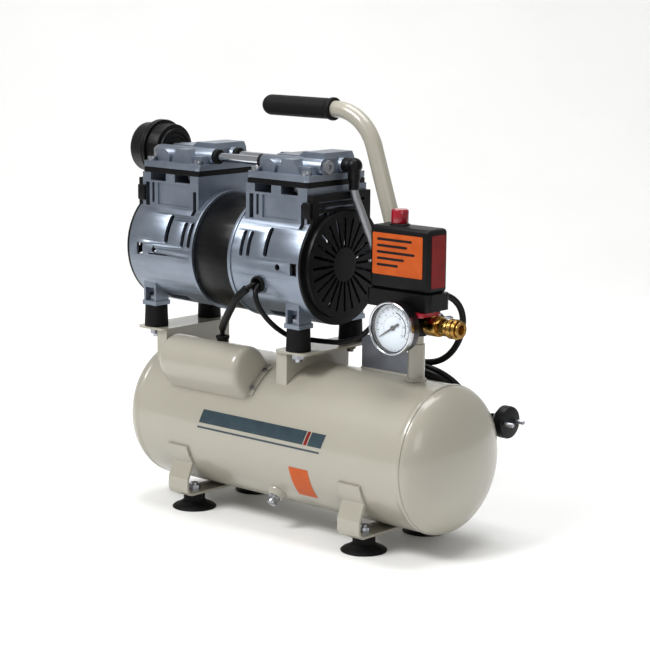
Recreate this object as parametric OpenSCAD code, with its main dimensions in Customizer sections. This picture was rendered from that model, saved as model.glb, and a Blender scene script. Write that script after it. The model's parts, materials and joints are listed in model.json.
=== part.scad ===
// Small oil-free air compressor: a twin-cylinder direct-drive pump on a horizontal tank,
// with a pressure switch, gauge, outlet tap, carrying handle, suction feet and mains lead.
// Millimetres. +X runs along the tank towards the outlet, -Y is the front, +Z is up.

/* [Tank] */
// Outside diameter of the tank
tank_d = 156; // [130:1:190]
// Length of the tank's straight shell
shell_len = 379; // [360:1:480]
// Depth of each dished end
dish_depth = 34.5; // [25:0.5:50]
// Thickness of the tank's steel
tank_wall = 2.5; // [1.5:0.1:4]

/* [Feet] */
// Distance from the tank's middle to each foot bracket
foot_x = 125; // [90:1:150]
// Distance from the centre plane to each foot
foot_y = 50.5; // [40:0.5:58]
// Height of a rubber foot
foot_h = 17.5; // [12:0.5:30]
// Diameter of a foot's suction cup
cup_d = 49; // [36:1:56]
// Diameter of a foot's neck
foot_neck_d = 24; // [18:1:30]
// Width of a foot bracket's strap
strap_w = 30; // [24:1:44]
// Thickness of the bracket steel
strap_t = 3; // [2:0.5:5]

/* [Saddles and mounts] */
// Height of the saddle's top face above the tank
saddle_rise = 19.5; // [10:0.5:40]
// Length of a saddle plate across the tank
saddle_len = 108; // [100:1:118]
// Width of a saddle plate along the tank
saddle_w = 44; // [36:1:53]
// Width of the folded rib under a saddle plate
rib_w = 15; // [10:1:18]
// Height of a rubber mount
mount_h = 24.5; // [15:0.5:40]
// Diameter of a rubber mount
mount_d = 27; // [22:1:32]

/* [Pump] */
// Distance of the pump's middle from the tank's middle, towards the left
pump_shift = 85; // [70:1:95]
// Distance of the rubber mounts from the pump's middle
mount_x = 108.5; // [104:0.5:114]
// Distance of the rubber mounts from the centre plane
mount_y = 42; // [36:0.5:44]
// Height of the shaft axis above the rubber mounts
axis_rise = 66; // [60:0.5:80]
// Outside radius of a crankcase barrel
barrel_r = 65; // [60:0.5:72]
// Wall of a crankcase barrel
barrel_wall = 4; // [3:0.5:6]
// Distance from the pump's middle to a crankcase's inner end
barrel_in = 27; // [20:1:32]
// Distance from the pump's middle to a crankcase's outer end
barrel_out = 128; // [126:1:140]
// Distance from the pump's middle to a cylinder axis
cyl_x = 80; // [76:1:84]
// Height of the cylinder tower's top above the shaft axis
tower_top = 83; // [78:1:95]
// Length of a cylinder tower along the shaft
tower_w = 88; // [84:1:96]
// Depth of a cylinder tower across the shaft
tower_d = 94; // [86:1:104]
// Cylinder bore
bore_d = 50; // [42:0.5:54]
// Piston stroke
stroke = 16; // [10:1:18]

/* [Cylinder heads] */
// Thickness of the black valve plate
valve_plate_t = 6; // [4:0.5:8]
// Thickness of the head's base plate
head_plate_t = 6.5; // [5:0.5:9]
// Height of the head's chamber above its base plate
head_rise = 21.5; // [16:0.5:30]
// Distance between head bolts along the shaft
head_bolt_x = 72; // [66:1:78]
// Distance between head bolts across the shaft
head_bolt_y = 80; // [70:1:84]
// Distance of the front air port from the centre plane
port_front = 18; // [14:1:20]
// Distance of the rear air port from the centre plane
port_rear = 14; // [12:1:20]
// Diameter of a crossover tube
cross_d = 9.5; // [8:0.5:12]

/* [Intake silencer] */
// Outside diameter of the silencer's drum
silencer_d = 56; // [44:1:62]
// Length of the silencer
silencer_len = 47; // [38:1:60]

/* [Switch group] */
// Position of the riser pipe along the tank
riser_x = 150; // [140:1:160]
// Outside diameter of the riser pipe
riser_d = 18; // [15:0.5:22]
// Height of the manifold axis above the tank's top
manifold_rise = 59.5; // [54:0.5:75]
// Length of the pressure switch cover
switch_len = 78.5; // [70:0.5:86]
// Depth of the pressure switch cover
switch_dep = 31.5; // [28:0.5:40]
// Height of the pressure switch cover
switch_h = 66; // [54:0.5:80]
// Height of the pressure switch base
switch_base_h = 17.5; // [14:0.5:22]
// Travel of the red switch knob
knob_travel = 6; // [3:0.5:8]
// Diameter of the gauge's bezel
gauge_d = 55; // [44:1:60]
// Depth of the gauge's case
gauge_dep = 16; // [13:0.5:20]
// Bore that takes the hose plug
coupler_bore = 10.4; // [8:0.1:11]
// Travel of the coupler's sleeve
sleeve_travel = 3; // [2:0.5:4]

/* [Handle] */
// Diameter of the handle tube
handle_d = 18; // [15:0.5:22]
// Height of the handle tube's axis at the grip
handle_z = 447; // [435:1:480]
// Distance of the handle from the centre plane
handle_y = 27; // [24:0.5:32]
// Angle of the handle's sloping stretch from upright
handle_lean = 19; // [12:0.5:26]
// Radius of the handle's bends
handle_bend = 56; // [45:1:70]
// Length of the rubber grip
grip_len = 97; // [80:1:115]
// Diameter of the rubber grip
grip_d = 22.5; // [20:0.5:28]

/* [Capacitor housing] */
// Length of the capacitor cover
cap_len = 120; // [90:1:130]
// Width of the capacitor cover
cap_w = 52; // [42:1:60]
// Height of the capacitor cover above the tank
cap_rise = 41; // [36:0.5:50]
// Diameter of the run capacitor
cap_can_d = 36; // [28:1:40]

/* [Mains lead] */
// Diameter of the mains lead
cord_d = 7; // [6:0.5:8]

/* [Hidden] */
$fn = 64;
clear = 0.3;
fit = 0.05;
tank_r = tank_d / 2;
tank_z = foot_h + strap_t + tank_r;
tank_top = tank_z + tank_r;
reach_right = shell_len / 2 + dish_depth;

saddle_top = tank_top + saddle_rise;
saddle_t = 2.5;
mount_top = saddle_top + mount_h;
axis_z = mount_top + axis_rise;
pump_x = -pump_shift;

drum_r = barrel_r - barrel_wall - 0.5;
drum_wall = 2.5;
wall_x = 48;
wall_t = 7;
shaft_d = 12;
bearing_d = 26;
bearing_t = 8;
chamber_r = barrel_r - barrel_wall;
rod_t = 9;
big_end_r = 19;
throw = stroke / 2;
piston_h = 9;
sleeve_wall = 2;
tower_z = axis_z + tower_top;
head_z = tower_z + valve_plate_t;
head_top = head_z + head_plate_t + head_rise;
port_z = head_z + head_plate_t + 8;
sleeve_bottom = tower_top - stroke - piston_h - 12;

silencer_r = silencer_d / 2;
silencer_x = pump_x - cyl_x - tower_w / 2 - 9;
reach_left = silencer_x - silencer_len;

// The middle of the whole machine, without its mains lead, stands over the origin.
cap_front = tank_r + cap_rise;
home_x = -(reach_right + reach_left) / 2;
cap_angle = 40;
cap_reach = (tank_r + cap_rise - cap_w / 2) * sin(cap_angle) + cap_w / 2;
home_y = (cap_reach - tank_r) / 2;

manifold_z = tank_top + manifold_rise;
switch_z = manifold_z + 16.5;
switch_x = riser_x - 11;
switch_y = -2;
cover_z = switch_z + switch_base_h;
gauge_y = -43.5;
check_x = 80;
check_y = 36;
check_z = tank_z + sqrt(tank_r * tank_r - check_y * check_y);
elbow_x = pump_x + cyl_x + tower_w / 2 + 11.5;
tap_x = riser_x + 21;
coupler_x = tap_x + 13;

handle_foot_x = 102;
lean_in = handle_bend * (1 - cos(handle_lean));
lean_down = handle_bend * sin(handle_lean);
upper_turn = 90 - handle_lean;
slope_top_z = handle_z - handle_bend * (1 - cos(upper_turn));
handle_knee_z = 290;
slope_foot_z = handle_knee_z + 8 + lean_down;
slope_run = (slope_top_z - slope_foot_z) * tan(handle_lean);
slope_foot_x = handle_foot_x - lean_in;
slope_top_x = slope_foot_x - slope_run;
handle_top_x = slope_top_x - handle_bend * sin(upper_turn);

cap_x = -88;
drain_x = 4;
drain_angle = 42;

// Mains lead: out of the switch base's back, down behind the tank and into its coil.
cable_d = 5.6;
coil_x = 104;
coil_tilt = 66;
coil_r = 40;
coil_half = 12;
coil_off = tank_r + coil_half + 1.5;
coil_y = coil_off * sin(coil_tilt);
coil_z = tank_z + coil_off * cos(coil_tilt);
gland_x = 150;
gland_z = switch_z + 8.5;
plug_x = 176;
plug_y = 94;
plug_z = 124;

CORD_ROUTE = [[150, 38, 261], [150.5, 44, 260.7], [152, 52, 258], [154.5, 60, 252.5], [156.5, 65.5, 244],
              [157.5, 68, 233.5], [156.5, 68.5, 222], [153, 68.5, 211], [147, 69, 201], [139, 70, 192.5],
              [129, 71.5, 185.5], [117, 72.6, 180.3], [108, 72.8, 178.7]];
TAIL_ROUTE = [[104, 112, 108.5], [116, 112, 108.8], [130, 110.5, 110], [143, 107, 113], [155, 102, 117],
              [166, 97.5, 121], [177, 94, 124]];
MOTOR_TO_CAPACITOR = [[-17, -59, 265.5], [-17, -66, 265.5], [-22, -74, 261], [-34, -77, 249],
                      [-50, -72, 232], [-64, -64, 219], [-75, -56, 210], [-78, -53.2, 202], [-78, -53, 193]];
MOTOR_TO_SWITCH = [[-11, -59, 265.5], [-11, -66, 265], [-9, -74, 258], [-4, -74, 244], [0, -64, 229],
                   [2, -48, 216], [6, -32, 207], [16, -16, 203.5], [32, -10, 203], [55, -9, 205],
                   [78, -8, 213], [95, -7, 227], [104, -6, 242], [107, -6, 254]];
HOSE_ROUTE = [[50.5, 14, 369], [50.6, 14, 364], [52.5, 15, 356], [57.5, 17, 343], [64, 18, 328], [71, 19, 313], [78, 20, 296],
              [83, 22, 276], [84, 26, 256], [82, 31, 238], [80, 34, 224], [80, 36, 214], [80, 36, 205]];

module home() { translate([home_x, home_y, 0]) children(); }
module along_x(x) { translate([x, 0, 0]) rotate([0, 90, 0]) children(); }
module tank_cylinder(r, x, length) {
  translate([x, 0, tank_z]) rotate([0, 90, 0]) cylinder(r = r, h = length, $fn = 128);
}
module rounded(w, l, r, h) {
  linear_extrude(h) {
    square([w, l - 2 * r], center = true);
    square([w - 2 * r, l], center = true);
    for (x = [-1, 1], y = [-1, 1]) translate([x * (w / 2 - r), y * (l / 2 - r)]) circle(r = r, $fn = 32);
  }
}
module sides() { for (s = [-1, 1]) mirror([s < 0 ? 1 : 0, 0, 0]) children(); }
module pump_frame() { translate([pump_x, 0, axis_z]) children(); }

// A smooth curve through a list of points, and a tube swept along it.
function blend(p, i, t) =
  let (a = p[max(i - 1, 0)], b = p[i], c = p[i + 1], d = p[min(i + 2, len(p) - 1)])
  0.5 * (2 * b + (c - a) * t + (2 * a - 5 * b + 4 * c - d) * t * t + (3 * b - 3 * c + d - a) * t * t * t);
function smooth(p, n) =
  concat([for (i = [0:len(p) - 2]) for (k = [0:n - 1]) blend(p, i, k / n)], [p[len(p) - 1]]);
function unit(v) = v / norm(v);
function heading(c, i) = unit(c[min(i + 1, len(c) - 1)] - c[max(i - 1, 0)]);
function ring(c, i, r, n, up) =
  let (t = heading(c, i), u = unit(cross(t, up)), v = cross(t, u))
  [for (k = [0:n - 1]) c[i] + r * (cos(360 * k / n) * u + sin(360 * k / n) * v)];

module tube(route, d, up, steps = 3, n = 10) {
  c = smooth(route, steps);
  last = len(c) - 1;
  points = [for (i = [0:last]) each ring(c, i, d / 2, n, up)];
  walls = [for (i = [0:last - 1]) for (k = [0:n - 1])
    [i * n + k, (i + 1) * n + k, (i + 1) * n + (k + 1) % n, i * n + (k + 1) % n]];
  caps = [[for (k = [0:n - 1]) k], [for (k = [n - 1:-1:0]) last * n + k]];
  polyhedron(points, concat(walls, caps), convexity = 6);
}

// ---- Tank: a rolled shell, two pressed ends, a welded drain boss ----

module dish(r, d) {
  steps = 20;
  rotate_extrude($fn = 96)
    polygon(concat([[0, 0]], [for (i = [0:steps]) [r * cos(90 * i / steps), d * sin(90 * i / steps)]]));
}

module drain_axis() {
  translate([drain_x, 0, tank_z]) rotate([180 - drain_angle, 0, 0]) children();
}

module tank_shell() {
  color("#cfcab8") difference() {
    union() {
      tank_cylinder(tank_r, -shell_len / 2, shell_len);
      drain_axis() cylinder(r1 = 11, r2 = 8.2, h = tank_r + 6);
    }
    tank_cylinder(tank_r - tank_wall, -shell_len / 2 - 1, shell_len + 2);
    drain_axis() cylinder(r = 5, h = tank_r + 7);
    translate([riser_x, 0, tank_z]) cylinder(r = riser_d / 2 + fit, h = tank_r + 5);
    translate([check_x, check_y, tank_z]) cylinder(r = 8 + fit, h = tank_r + 5);
  }
}

module tank_ends() {
  color("#cfcab8") for (s = [-1, 1])
    translate([s * shell_len / 2, 0, tank_z]) rotate([0, s * 90, 0]) difference() {
      dish(tank_r, dish_depth);
      translate([0, 0, -0.01]) dish(tank_r - tank_wall, dish_depth - tank_wall);
    }
}

// ---- Foot brackets: a bent strap that hugs the tank's sides, on four suction feet ----

function bow(r, a, b, n) =
  [for (i = [0:n]) [r * cos(a + (b - a) * i / n), tank_z + r * sin(a + (b - a) * i / n)]];
strap_y = tank_r - 2;
strap_side = concat(
  [[0, foot_h], [strap_y - 8, foot_h], [strap_y - 4, foot_h + 1.2], [strap_y - 1.2, foot_h + 4],
   [strap_y, foot_h + 8], [strap_y, foot_h + 20]],
  bow(tank_r + strap_t, -32, -17, 5), bow(tank_r - 1, -17, -34, 5),
  [[strap_y - strap_t, foot_h + 19], [strap_y - strap_t, foot_h + 9],
   [strap_y - strap_t - 1.6, foot_h + 5], [strap_y - 8, foot_h + strap_t], [0, foot_h + strap_t]]);

module foot_strap() {
  difference() {
    for (m = [0, 1]) mirror([0, m, 0]) translate([-strap_w / 2, 0, 0]) rotate([90, 0, 90])
      linear_extrude(strap_w) polygon(strap_side);
    tank_cylinder(tank_r, -strap_w, 2 * strap_w);
  }
}

module foot_brackets() {
  color("#cfcab8") for (s = [-1, 1]) translate([s * foot_x, 0, 0]) difference() {
    foot_strap();
    for (y = [-foot_y, foot_y]) translate([0, y, foot_h - 1]) cylinder(r = 4.2, h = strap_t + 2);
  }
}

module at_feet() { for (x = [-foot_x, foot_x], y = [-foot_y, foot_y]) translate([x, y, 0]) children(); }

module rubber_feet() {
  color("#1b1b1c") at_feet() difference() {
    rotate_extrude() polygon([[0, 1.6], [cup_d / 2 - 5, 1.6], [cup_d / 2 - 4, 0], [cup_d / 2 - 0.5, 0],
      [cup_d / 2, 1.2], [cup_d / 2 - 2, 3], [foot_neck_d / 2 + 3, 6.5], [foot_neck_d / 2, 9],
      [foot_neck_d / 2, foot_h], [0, foot_h]]);
    translate([0, 0, 5]) cylinder(r = 4, h = foot_h);
  }
}

// Bolts up through the feet, and the studs that hold the pump down on its mounts.
module m8_fixings() {
  color("#b9bcc0") {
    at_feet() {
      translate([0, 0, 5.5]) cylinder(r = 4, h = foot_h + strap_t + 2);
      translate([0, 0, foot_h + strap_t]) cylinder(r = 7, h = 5, $fn = 6);
    }
    at_mounts() {
      translate([0, 0, -12]) cylinder(r = 4, h = mount_h + 25);
      translate([0, 0, -saddle_t - 6]) cylinder(r = 7, h = 6, $fn = 6);
      translate([0, 0, mount_h + 5]) cylinder(r = 6.5, h = 5, $fn = 6);
    }
  }
}

module drain_cock() {
  color("#c8b890") drain_axis() difference() {
    union() {
      translate([0, 0, tank_r - 6]) cylinder(r = 4.95, h = 12);
      translate([0, 0, tank_r + 6]) cylinder(r = 6.5, h = 3.5, $fn = 6);
    }
    translate([0, 0, tank_r - 7]) cylinder(r = 2 + fit, h = 20);
  }
}

module drain_knob() {
  color("#a8a294") drain_axis() {
    translate([0, 0, tank_r - 4]) cylinder(r = 2, h = 16);
    translate([0, 0, tank_r + 9.8]) difference() {
      cylinder(r = 5.5, h = 5);
      translate([-8, -0.8, 3.4]) cube([16, 1.6, 3]);
    }
  }
}

// ---- Saddles and rubber mounts under the pump ----

plate_x = mount_x - 2.5;
rib_x = plate_x - saddle_w / 2;

module saddles() {
  color("#cfcab8") translate([pump_x, 0, 0]) sides() difference() {
    union() {
      translate([plate_x, 0, saddle_top - saddle_t]) rounded(saddle_w, saddle_len, 6, saddle_t);
      translate([rib_x, -50, tank_z]) cube([rib_w, 100, saddle_top - saddle_t - tank_z]);
    }
    translate([rib_x + 2.5, -47.5, tank_z - 1]) cube([rib_w - 5, 95, saddle_top - saddle_t - tank_z + 1]);
    tank_cylinder(tank_r, 0, 200);
    for (y = [-mount_y, mount_y])
      translate([mount_x, y, saddle_top - 20]) cylinder(r = 4 + fit, h = 30);
  }
}

module at_mounts() {
  for (x = [-mount_x, mount_x], y = [-mount_y, mount_y])
    translate([pump_x + x, y, saddle_top]) children();
}

module rubber_mounts() {
  color("#1b1b1c") at_mounts() difference() {
    cylinder(r1 = mount_d / 2, r2 = mount_d / 2 - 1, h = mount_h);
    translate([0, 0, -1]) cylinder(r = 4 + fit, h = mount_h + 2);
  }
}

// ---- Capacitor cover on the front of the tank ----

cap_mid = tank_r + cap_rise - cap_w / 2;
grommet_x = cap_x + 10;
grommet_y = 6.8 - cap_mid * sin(cap_angle);
grommet_z = tank_z + cap_mid * cos(cap_angle) + sqrt(cap_w * cap_w / 4 - 6.8 * 6.8);
module cap_frame(x) { translate([x, 0, tank_z]) rotate([90, 0, 90]) rotate([0, 0, 90 + cap_angle]) children(); }

// Outline of the cover's end: a rounded back on two straight sides that meet the tank.
module cap_outline(grow) {
  translate([cap_mid, 0]) circle(r = cap_w / 2 + grow, $fn = 96);
  translate([tank_r * 0.85, -cap_w / 2 - grow]) square([cap_mid - tank_r * 0.85, cap_w + 2 * grow]);
}

module capacitor_cover() {
  color("#cfcab8") difference() {
    union() {
      cap_frame(cap_x - cap_len / 2) linear_extrude(cap_len) cap_outline(0);
      for (x = [cap_x - cap_len / 2 - 6, cap_x + cap_len / 2 - 1])
        cap_frame(x) linear_extrude(7) intersection() {
          circle(r = tank_r + 2.5, $fn = 128);
          translate([tank_r * 0.85, -cap_w / 2 + 4]) square([20, cap_w - 8]);
        }
    }
    cap_frame(cap_x - cap_len / 2 + 2) linear_extrude(cap_len - 4) cap_outline(-2);
    tank_cylinder(tank_r + 0.02, -260, 520);
    translate([grommet_x, grommet_y, tank_z]) cylinder(r = 6 + fit, h = 200);
  }
}

module run_capacitor() {
  color("#26272a") cap_frame(cap_x - 42) translate([tank_r + cap_rise - cap_can_d / 2 - 3.2, 0, 0])
    cylinder(r = cap_can_d / 2, h = 84);
  color("#b9bcc0") cap_frame(cap_x + 42) translate([tank_r + cap_rise - cap_can_d / 2 - 3.2, 0, 0])
    for (y = [-6, 6]) translate([-3, y - 0.5, 0]) cube([6, 1, 9]);
}

module cover_screws() {
  color("#b9bcc0") for (x = [cap_x - cap_len / 2 - 3, cap_x + cap_len / 2 + 3], a = [-9, 9])
    translate([x, 0, tank_z]) rotate([cap_angle + a, 0, 0]) translate([0, 0, tank_r + 2.52]) {
      difference() {
        cylinder(r = 2.8, h = 2);
        translate([-3, -0.4, 1.2]) cube([6, 0.8, 2]);
      }
    }
}

module cable_grommets() {
  color("#1b1b1c") {
    translate([grommet_x, grommet_y, grommet_z]) difference() {
      union() {
        translate([0, 0, -3.8]) cylinder(r = 6, h = 8);
        translate([0, 0, 3]) cylinder(r = 7.5, h = 3);
      }
      translate([0, 0, -20]) cylinder(r = 4, h = 40);
    }
    translate([pump_x + 71, 0, axis_z - 21]) rotate([90, 0, 0]) difference() {
      union() {
        translate([0, 0, 56]) cylinder(r = 7.5, h = 9);
        translate([0, 0, 64.2]) cylinder(r = 9, h = 3.3);
      }
      translate([0, 0, 50]) cylinder(r = 6.6, h = 30);
    }
  }
}

// ---- Pump: two crankcases with cylinder towers, and the motor drum between them ----

module along(x, r, h, n = 96) { translate([x, 0, 0]) rotate([0, 90, 0]) cylinder(r = r, h = h, $fn = n); }

module tower_cut(s) {
  top = tower_top;
  low = cyl_x - tower_w / 2;
  // Inside of the tower, left open to the crank chamber.
  translate([low + 4, -tower_d / 2 + 4, 0]) cube([tower_w - 8, tower_d - 8, top - 8]);
  translate([cyl_x, 0, 0]) cylinder(r = bore_d / 2 + sleeve_wall + 0.02, h = top + 1, $fn = 96);
  // Notches that leave posts under the valve plate.
  for (x = [-19, 19]) translate([cyl_x + x - 12, -tower_d, top - 8.5]) cube([24, 2 * tower_d, 10]);
  for (y = [-1, 1]) {
    // Cooling slots and the shallow panel on the front and rear faces.
    translate([cyl_x - s * 36 - 3, y * tower_d / 2 - 6, 46]) cube([6, 12, 26]);
    translate([cyl_x - s * 27 - 1.75, y * tower_d / 2 - 6, 50]) cube([3.5, 12, 22]);
    translate([cyl_x + s * 38 - 2.5, y * tower_d / 2 - 6, 40]) cube([5, 12, 26]);
    translate([cyl_x + s * 5 - 25, y * (tower_d / 2 + 8) - 10, 48]) cube([50, 20, 24]);
  }
}

// An oblong opening with round ends, cut from front to rear.
module slot(w, h) {
  rotate([90, 0, 0]) translate([0, 0, -20]) linear_extrude(40) {
    square([w, h - w], center = true);
    for (z = [-1, 1]) translate([0, z * (h - w) / 2]) circle(r = w / 2, $fn = 32);
  }
}

module barrel_cut(s) {
  along(barrel_in - 1, chamber_r, wall_x - barrel_in + 1, 128);
  along(wall_x + wall_t, chamber_r, barrel_out - wall_x, 128);
  along(wall_x - 4, bearing_d / 2 + 0.01, bearing_t + 0.02);
  along(wall_x - 8, 9, 40);
  // Round, oblong and square openings in the front and rear of the barrel.
  for (y = [-1, 1]) translate([s * 5, y * barrel_r, 0]) {
    for (x = [40, 50]) translate([x, 0, 20]) slot(5, 27);
    translate([75, 0, 24]) slot(6, 30);
    translate([93.5, 0, 0]) slot(7, 7.01);
    translate([116, 0, -0.5]) cube([9, 40, 13], center = true);
  }
  for (a = [-30, 30]) rotate([a, 0, 0]) translate([cyl_x, 0, -barrel_r]) cube([34, 14, 20], center = true);
}

module leg_cut() {
  for (y = [-1, 1]) translate([mount_x, y * mount_y, 0]) {
    translate([-6.9, y > 0 ? -6.9 : -23, -axis_rise + 5]) cube([13.8, 29.9, 8.6]);
    translate([-6.9, y > 0 ? 1 : -23, -axis_rise + 5]) cube([13.8, 22, 15]);
    translate([0, 0, -axis_rise - 1]) cylinder(r = 4.2, h = 10);
  }
}

module crankcase(s) {
  color("#c3c8d2") pump_frame() mirror([s < 0 ? 1 : 0, 0, 0]) difference() {
    union() {
      along(barrel_in, barrel_r, barrel_out - barrel_in, 128);
      along(barrel_in, barrel_r + 1.5, 4, 128);
      translate([cyl_x - tower_w / 2, -tower_d / 2, 0]) cube([tower_w, tower_d, tower_top]);
      for (y = [-1, 1]) translate([mount_x, y * mount_y, -axis_rise]) {
        translate([-9.5, -10, 0]) cube([19, 20, 30]);
        translate([-11, -11, 0]) cube([22, 22, 5]);
      }
      if (s > 0) translate([71, 0, -21]) rotate([90, 0, 0]) cylinder(r = 10, h = 64);
    }
    tower_cut(s);
    barrel_cut(s);
    leg_cut();
    if (s > 0) translate([71, 0, -21]) rotate([90, 0, 0]) cylinder(r = 7.52, h = 80);
  }
}

module crankcase_left() { crankcase(-1); }
module crankcase_right() { crankcase(1); }

module motor_drum() {
  color("#17171a") pump_frame() difference() {
    union() {
      along(-wall_x + 0.5, drum_r, 2 * wall_x - 1, 128);
      along(-barrel_in + 0.3, barrel_r - 1.5, 2 * barrel_in - 0.6, 128);
    }
    along(-wall_x, drum_r - drum_wall, 2 * wall_x, 128);
  }
}

module stator_core() {
  color("#3a3b40") pump_frame() difference() {
    along(-30, drum_r - drum_wall - 0.02, 60);
    along(-31, 30, 62);
    for (a = [0:30:330]) rotate([a, 0, 0]) translate([-31, -3, 29]) cube([62, 6, 15]);
  }
}

module stator_windings() {
  color("#a5562c") pump_frame() {
    for (x = [-41, 30.5]) difference() {
      along(x, 50, 10.5);
      along(x - 1, 33, 13);
    }
    for (a = [0:30:330]) rotate([a, 0, 0]) translate([-30.6, -2.6, 33.5]) cube([61.2, 5.2, 10]);
  }
}

module rotor() {
  color("#6a6d73") pump_frame() difference() {
    union() {
      along(-30, 29.4, 60);
      for (x = [-36, 30]) along(x, 25, 6);
    }
    along(-40, shaft_d / 2 + 0.01, 80);
  }
}

module motor_shaft() {
  color("#b4b7bc") pump_frame() {
    along(-122, shaft_d / 2, 244);
    for (s = [-1, 1]) translate([s * 68.5, 0, 0]) difference() {
      along(-5, 24, 10);
      translate([0, 0, s * 17]) along(-6, 4, 12);
    }
  }
}

module shaft_bearings() {
  color("#9a9da3") pump_frame() for (x = [-wall_x - 4, wall_x - 4]) difference() {
    along(x, bearing_d / 2, bearing_t);
    along(x - 1, shaft_d / 2 + fit, bearing_t + 2);
  }
}

module cooling_fans() {
  color("#1d1d20") pump_frame() for (s = [-1, 1]) difference() {
    union() {
      translate([s * 114.5, 0, 0]) along(-7, 13, 14);
      for (a = [0:40:320]) rotate([a, 0, 0]) translate([s * 114.5, 0, 33]) rotate([0, 0, s * 38])
        cube([1.8, 20, 43], center = true);
    }
    along(-130, shaft_d / 2 + 0.01, 260);
  }
}

// Black covers that close the outer end of each crankcase and tower.
module fan_covers() {
  color("#17171a") pump_frame() sides() difference() {
    union() {
      along(barrel_out, 57.5, 8, 128);
      along(barrel_out, barrel_r, 3, 128);
      translate([cyl_x + tower_w / 2 + 0.3, -tower_d / 2 + 1, 40]) cube([6.7, tower_d - 2, tower_top - 47]);
    }
    along(barrel_out - 10, 55, 15.5, 128);
    along(cyl_x + tower_w / 2, barrel_r + 0.3, barrel_out - cyl_x - tower_w / 2, 128);
    for (a = [0:15:345]) rotate([a, 0, 0]) translate([barrel_out - 1, -1.5, 18]) cube([22, 3, 32]);
    for (z = [66:-6:54]) translate([cyl_x + tower_w / 2 - 1, -36, z]) cube([12, 72, 2.6]);
  }
}

module cylinder_sleeves() {
  color("#aeb4bd") pump_frame() sides() translate([cyl_x, 0, sleeve_bottom]) difference() {
    cylinder(r = bore_d / 2 + sleeve_wall, h = tower_top - sleeve_bottom, $fn = 96);
    translate([0, 0, -1]) cylinder(r = bore_d / 2, h = 100, $fn = 96);
  }
}

// Rocking piston: piston, rod and big end in one piece, at the middle of its stroke.
module piston(s) {
  crown = tower_top - throw - 1;
  color("#c9c2b2") pump_frame() translate([s * cyl_x, 0, 0]) {
    translate([0, 0, crown - piston_h]) cylinder(r = bore_d / 2 - 0.08, h = piston_h, $fn = 96);
    difference() {
      union() {
        along(-rod_t / 2, big_end_r, rod_t);
        translate([-rod_t / 2, -7, 0]) cube([rod_t, 14, crown - piston_h]);
      }
      along(-rod_t, shaft_d / 2 + throw + 0.8, 2 * rod_t);
    }
  }
}

module piston_left() { piston(-1); }
module piston_right() { piston(1); }

module at_heads() { for (s = [-1, 1]) translate([pump_x + s * cyl_x, 0, 0]) children(); }
module at_head_bolts() {
  for (x = [-1, 1], y = [-1, 1]) translate([x * head_bolt_x / 2, y * head_bolt_y / 2, 0]) children();
}
gasket_t = 0.8;

module valve_plates() {
  color("#141416") at_heads() difference() {
    translate([0, 0, tower_z]) rounded(tower_w, tower_d, 4, valve_plate_t - gasket_t);
    at_head_bolts() translate([0, 0, tower_z - 1]) cylinder(r = 3.1, h = 10);
    for (y = [-12, 12]) translate([0, y, tower_z - 1]) cylinder(r = 4, h = 10);
  }
}

module head_gaskets() {
  color("#2c2c2e") at_heads() difference() {
    translate([0, 0, head_z - gasket_t]) rounded(tower_w - 2, tower_d - 2, 4, gasket_t);
    at_head_bolts() translate([0, 0, head_z - 2]) cylinder(r = 3.3, h = 10);
    for (y = [-17, 17]) translate([-30, y - 12, head_z - 2]) cube([60, 24, 5]);
  }
}

front_step = 8;

module head_profile(inset) {
  polygon([[-38 + inset, 0], [-31 + inset, head_rise - 4.5 - inset], [0 + inset, head_rise - 4.5 - inset],
    [7 + inset, head_rise - inset], [35 - inset, head_rise - inset], [38 - inset, head_rise - 6],
    [40 - inset, 0]]);
}

// A bar of a given outline that runs from one depth to another, standing on the head's plate.
module head_bar(from, to) {
  translate([0, to, head_z + head_plate_t - 0.01]) rotate([90, 0, 0]) linear_extrude(to - from) children();
}

module cylinder_heads() {
  color("#c3c8d2") at_heads() difference() {
    union() {
      translate([0, 0, head_z]) rounded(tower_w, tower_d, 5, head_plate_t);
      head_bar(-12, 34) head_profile(0);
      head_bar(-34, -11) polygon([[-38, 0], [-35, front_step], [36, front_step], [39, 0]]);
      // Round boss and sloping boss on the front step.
      head_bar(-37, -8) translate([-21, 4]) circle(r = 9.5, $fn = 48);
      head_bar(-38, -8) polygon([[-7, 0], [0, 15], [16, 15], [25, 0]]);
      for (y = [-port_front, port_rear]) translate([0, y, port_z]) along(-43.5, 8.5, 87);
    }
    for (y = [[-9.5, -1.5], [1.5, 31]]) head_bar(y[0], y[1]) translate([0, -3]) head_profile(4);
    translate([-30, -29, head_z - 1]) cube([60, 24, head_plate_t + 5.5]);
    translate([-30, 5, head_z - 1]) cube([60, 24, 5]);
    for (y = [-port_front, port_rear]) translate([0, y, port_z]) along(-50, cross_d / 2 + fit, 100);
    at_head_bolts() translate([0, 0, head_z - 1]) cylinder(r = 3.2, h = 20);
  }
}

module head_bolts() {
  color("#b9bcc0") at_heads() at_head_bolts() {
    translate([0, 0, tower_z + 0.2]) cylinder(r = 3, h = head_z + head_plate_t - tower_z);
    translate([0, 0, head_z + head_plate_t]) difference() {
      cylinder(r = 5, h = 4.5);
      translate([0, 0, 2]) cylinder(r = 2.5, h = 3, $fn = 6);
    }
  }
}

// ---- Intake silencer and the tubes between the heads ----

module at_silencer() { translate([0, port_rear, port_z]) children(); }

module silencer_body() {
  color("#17171a") at_silencer() difference() {
    union() {
      along(silencer_x - silencer_len, silencer_r, silencer_len / 2, 96);
      along(silencer_x - silencer_len / 2 - 4, silencer_r + 4.5, 4, 96);
    }
    along(silencer_x - silencer_len + 2.5, silencer_r - 2.5, silencer_len, 96);
    for (a = [0:45:315]) rotate([a, 0, 0]) translate([silencer_x - silencer_len - 1, -2, 12]) cube([5, 4, 9]);
  }
}

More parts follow.
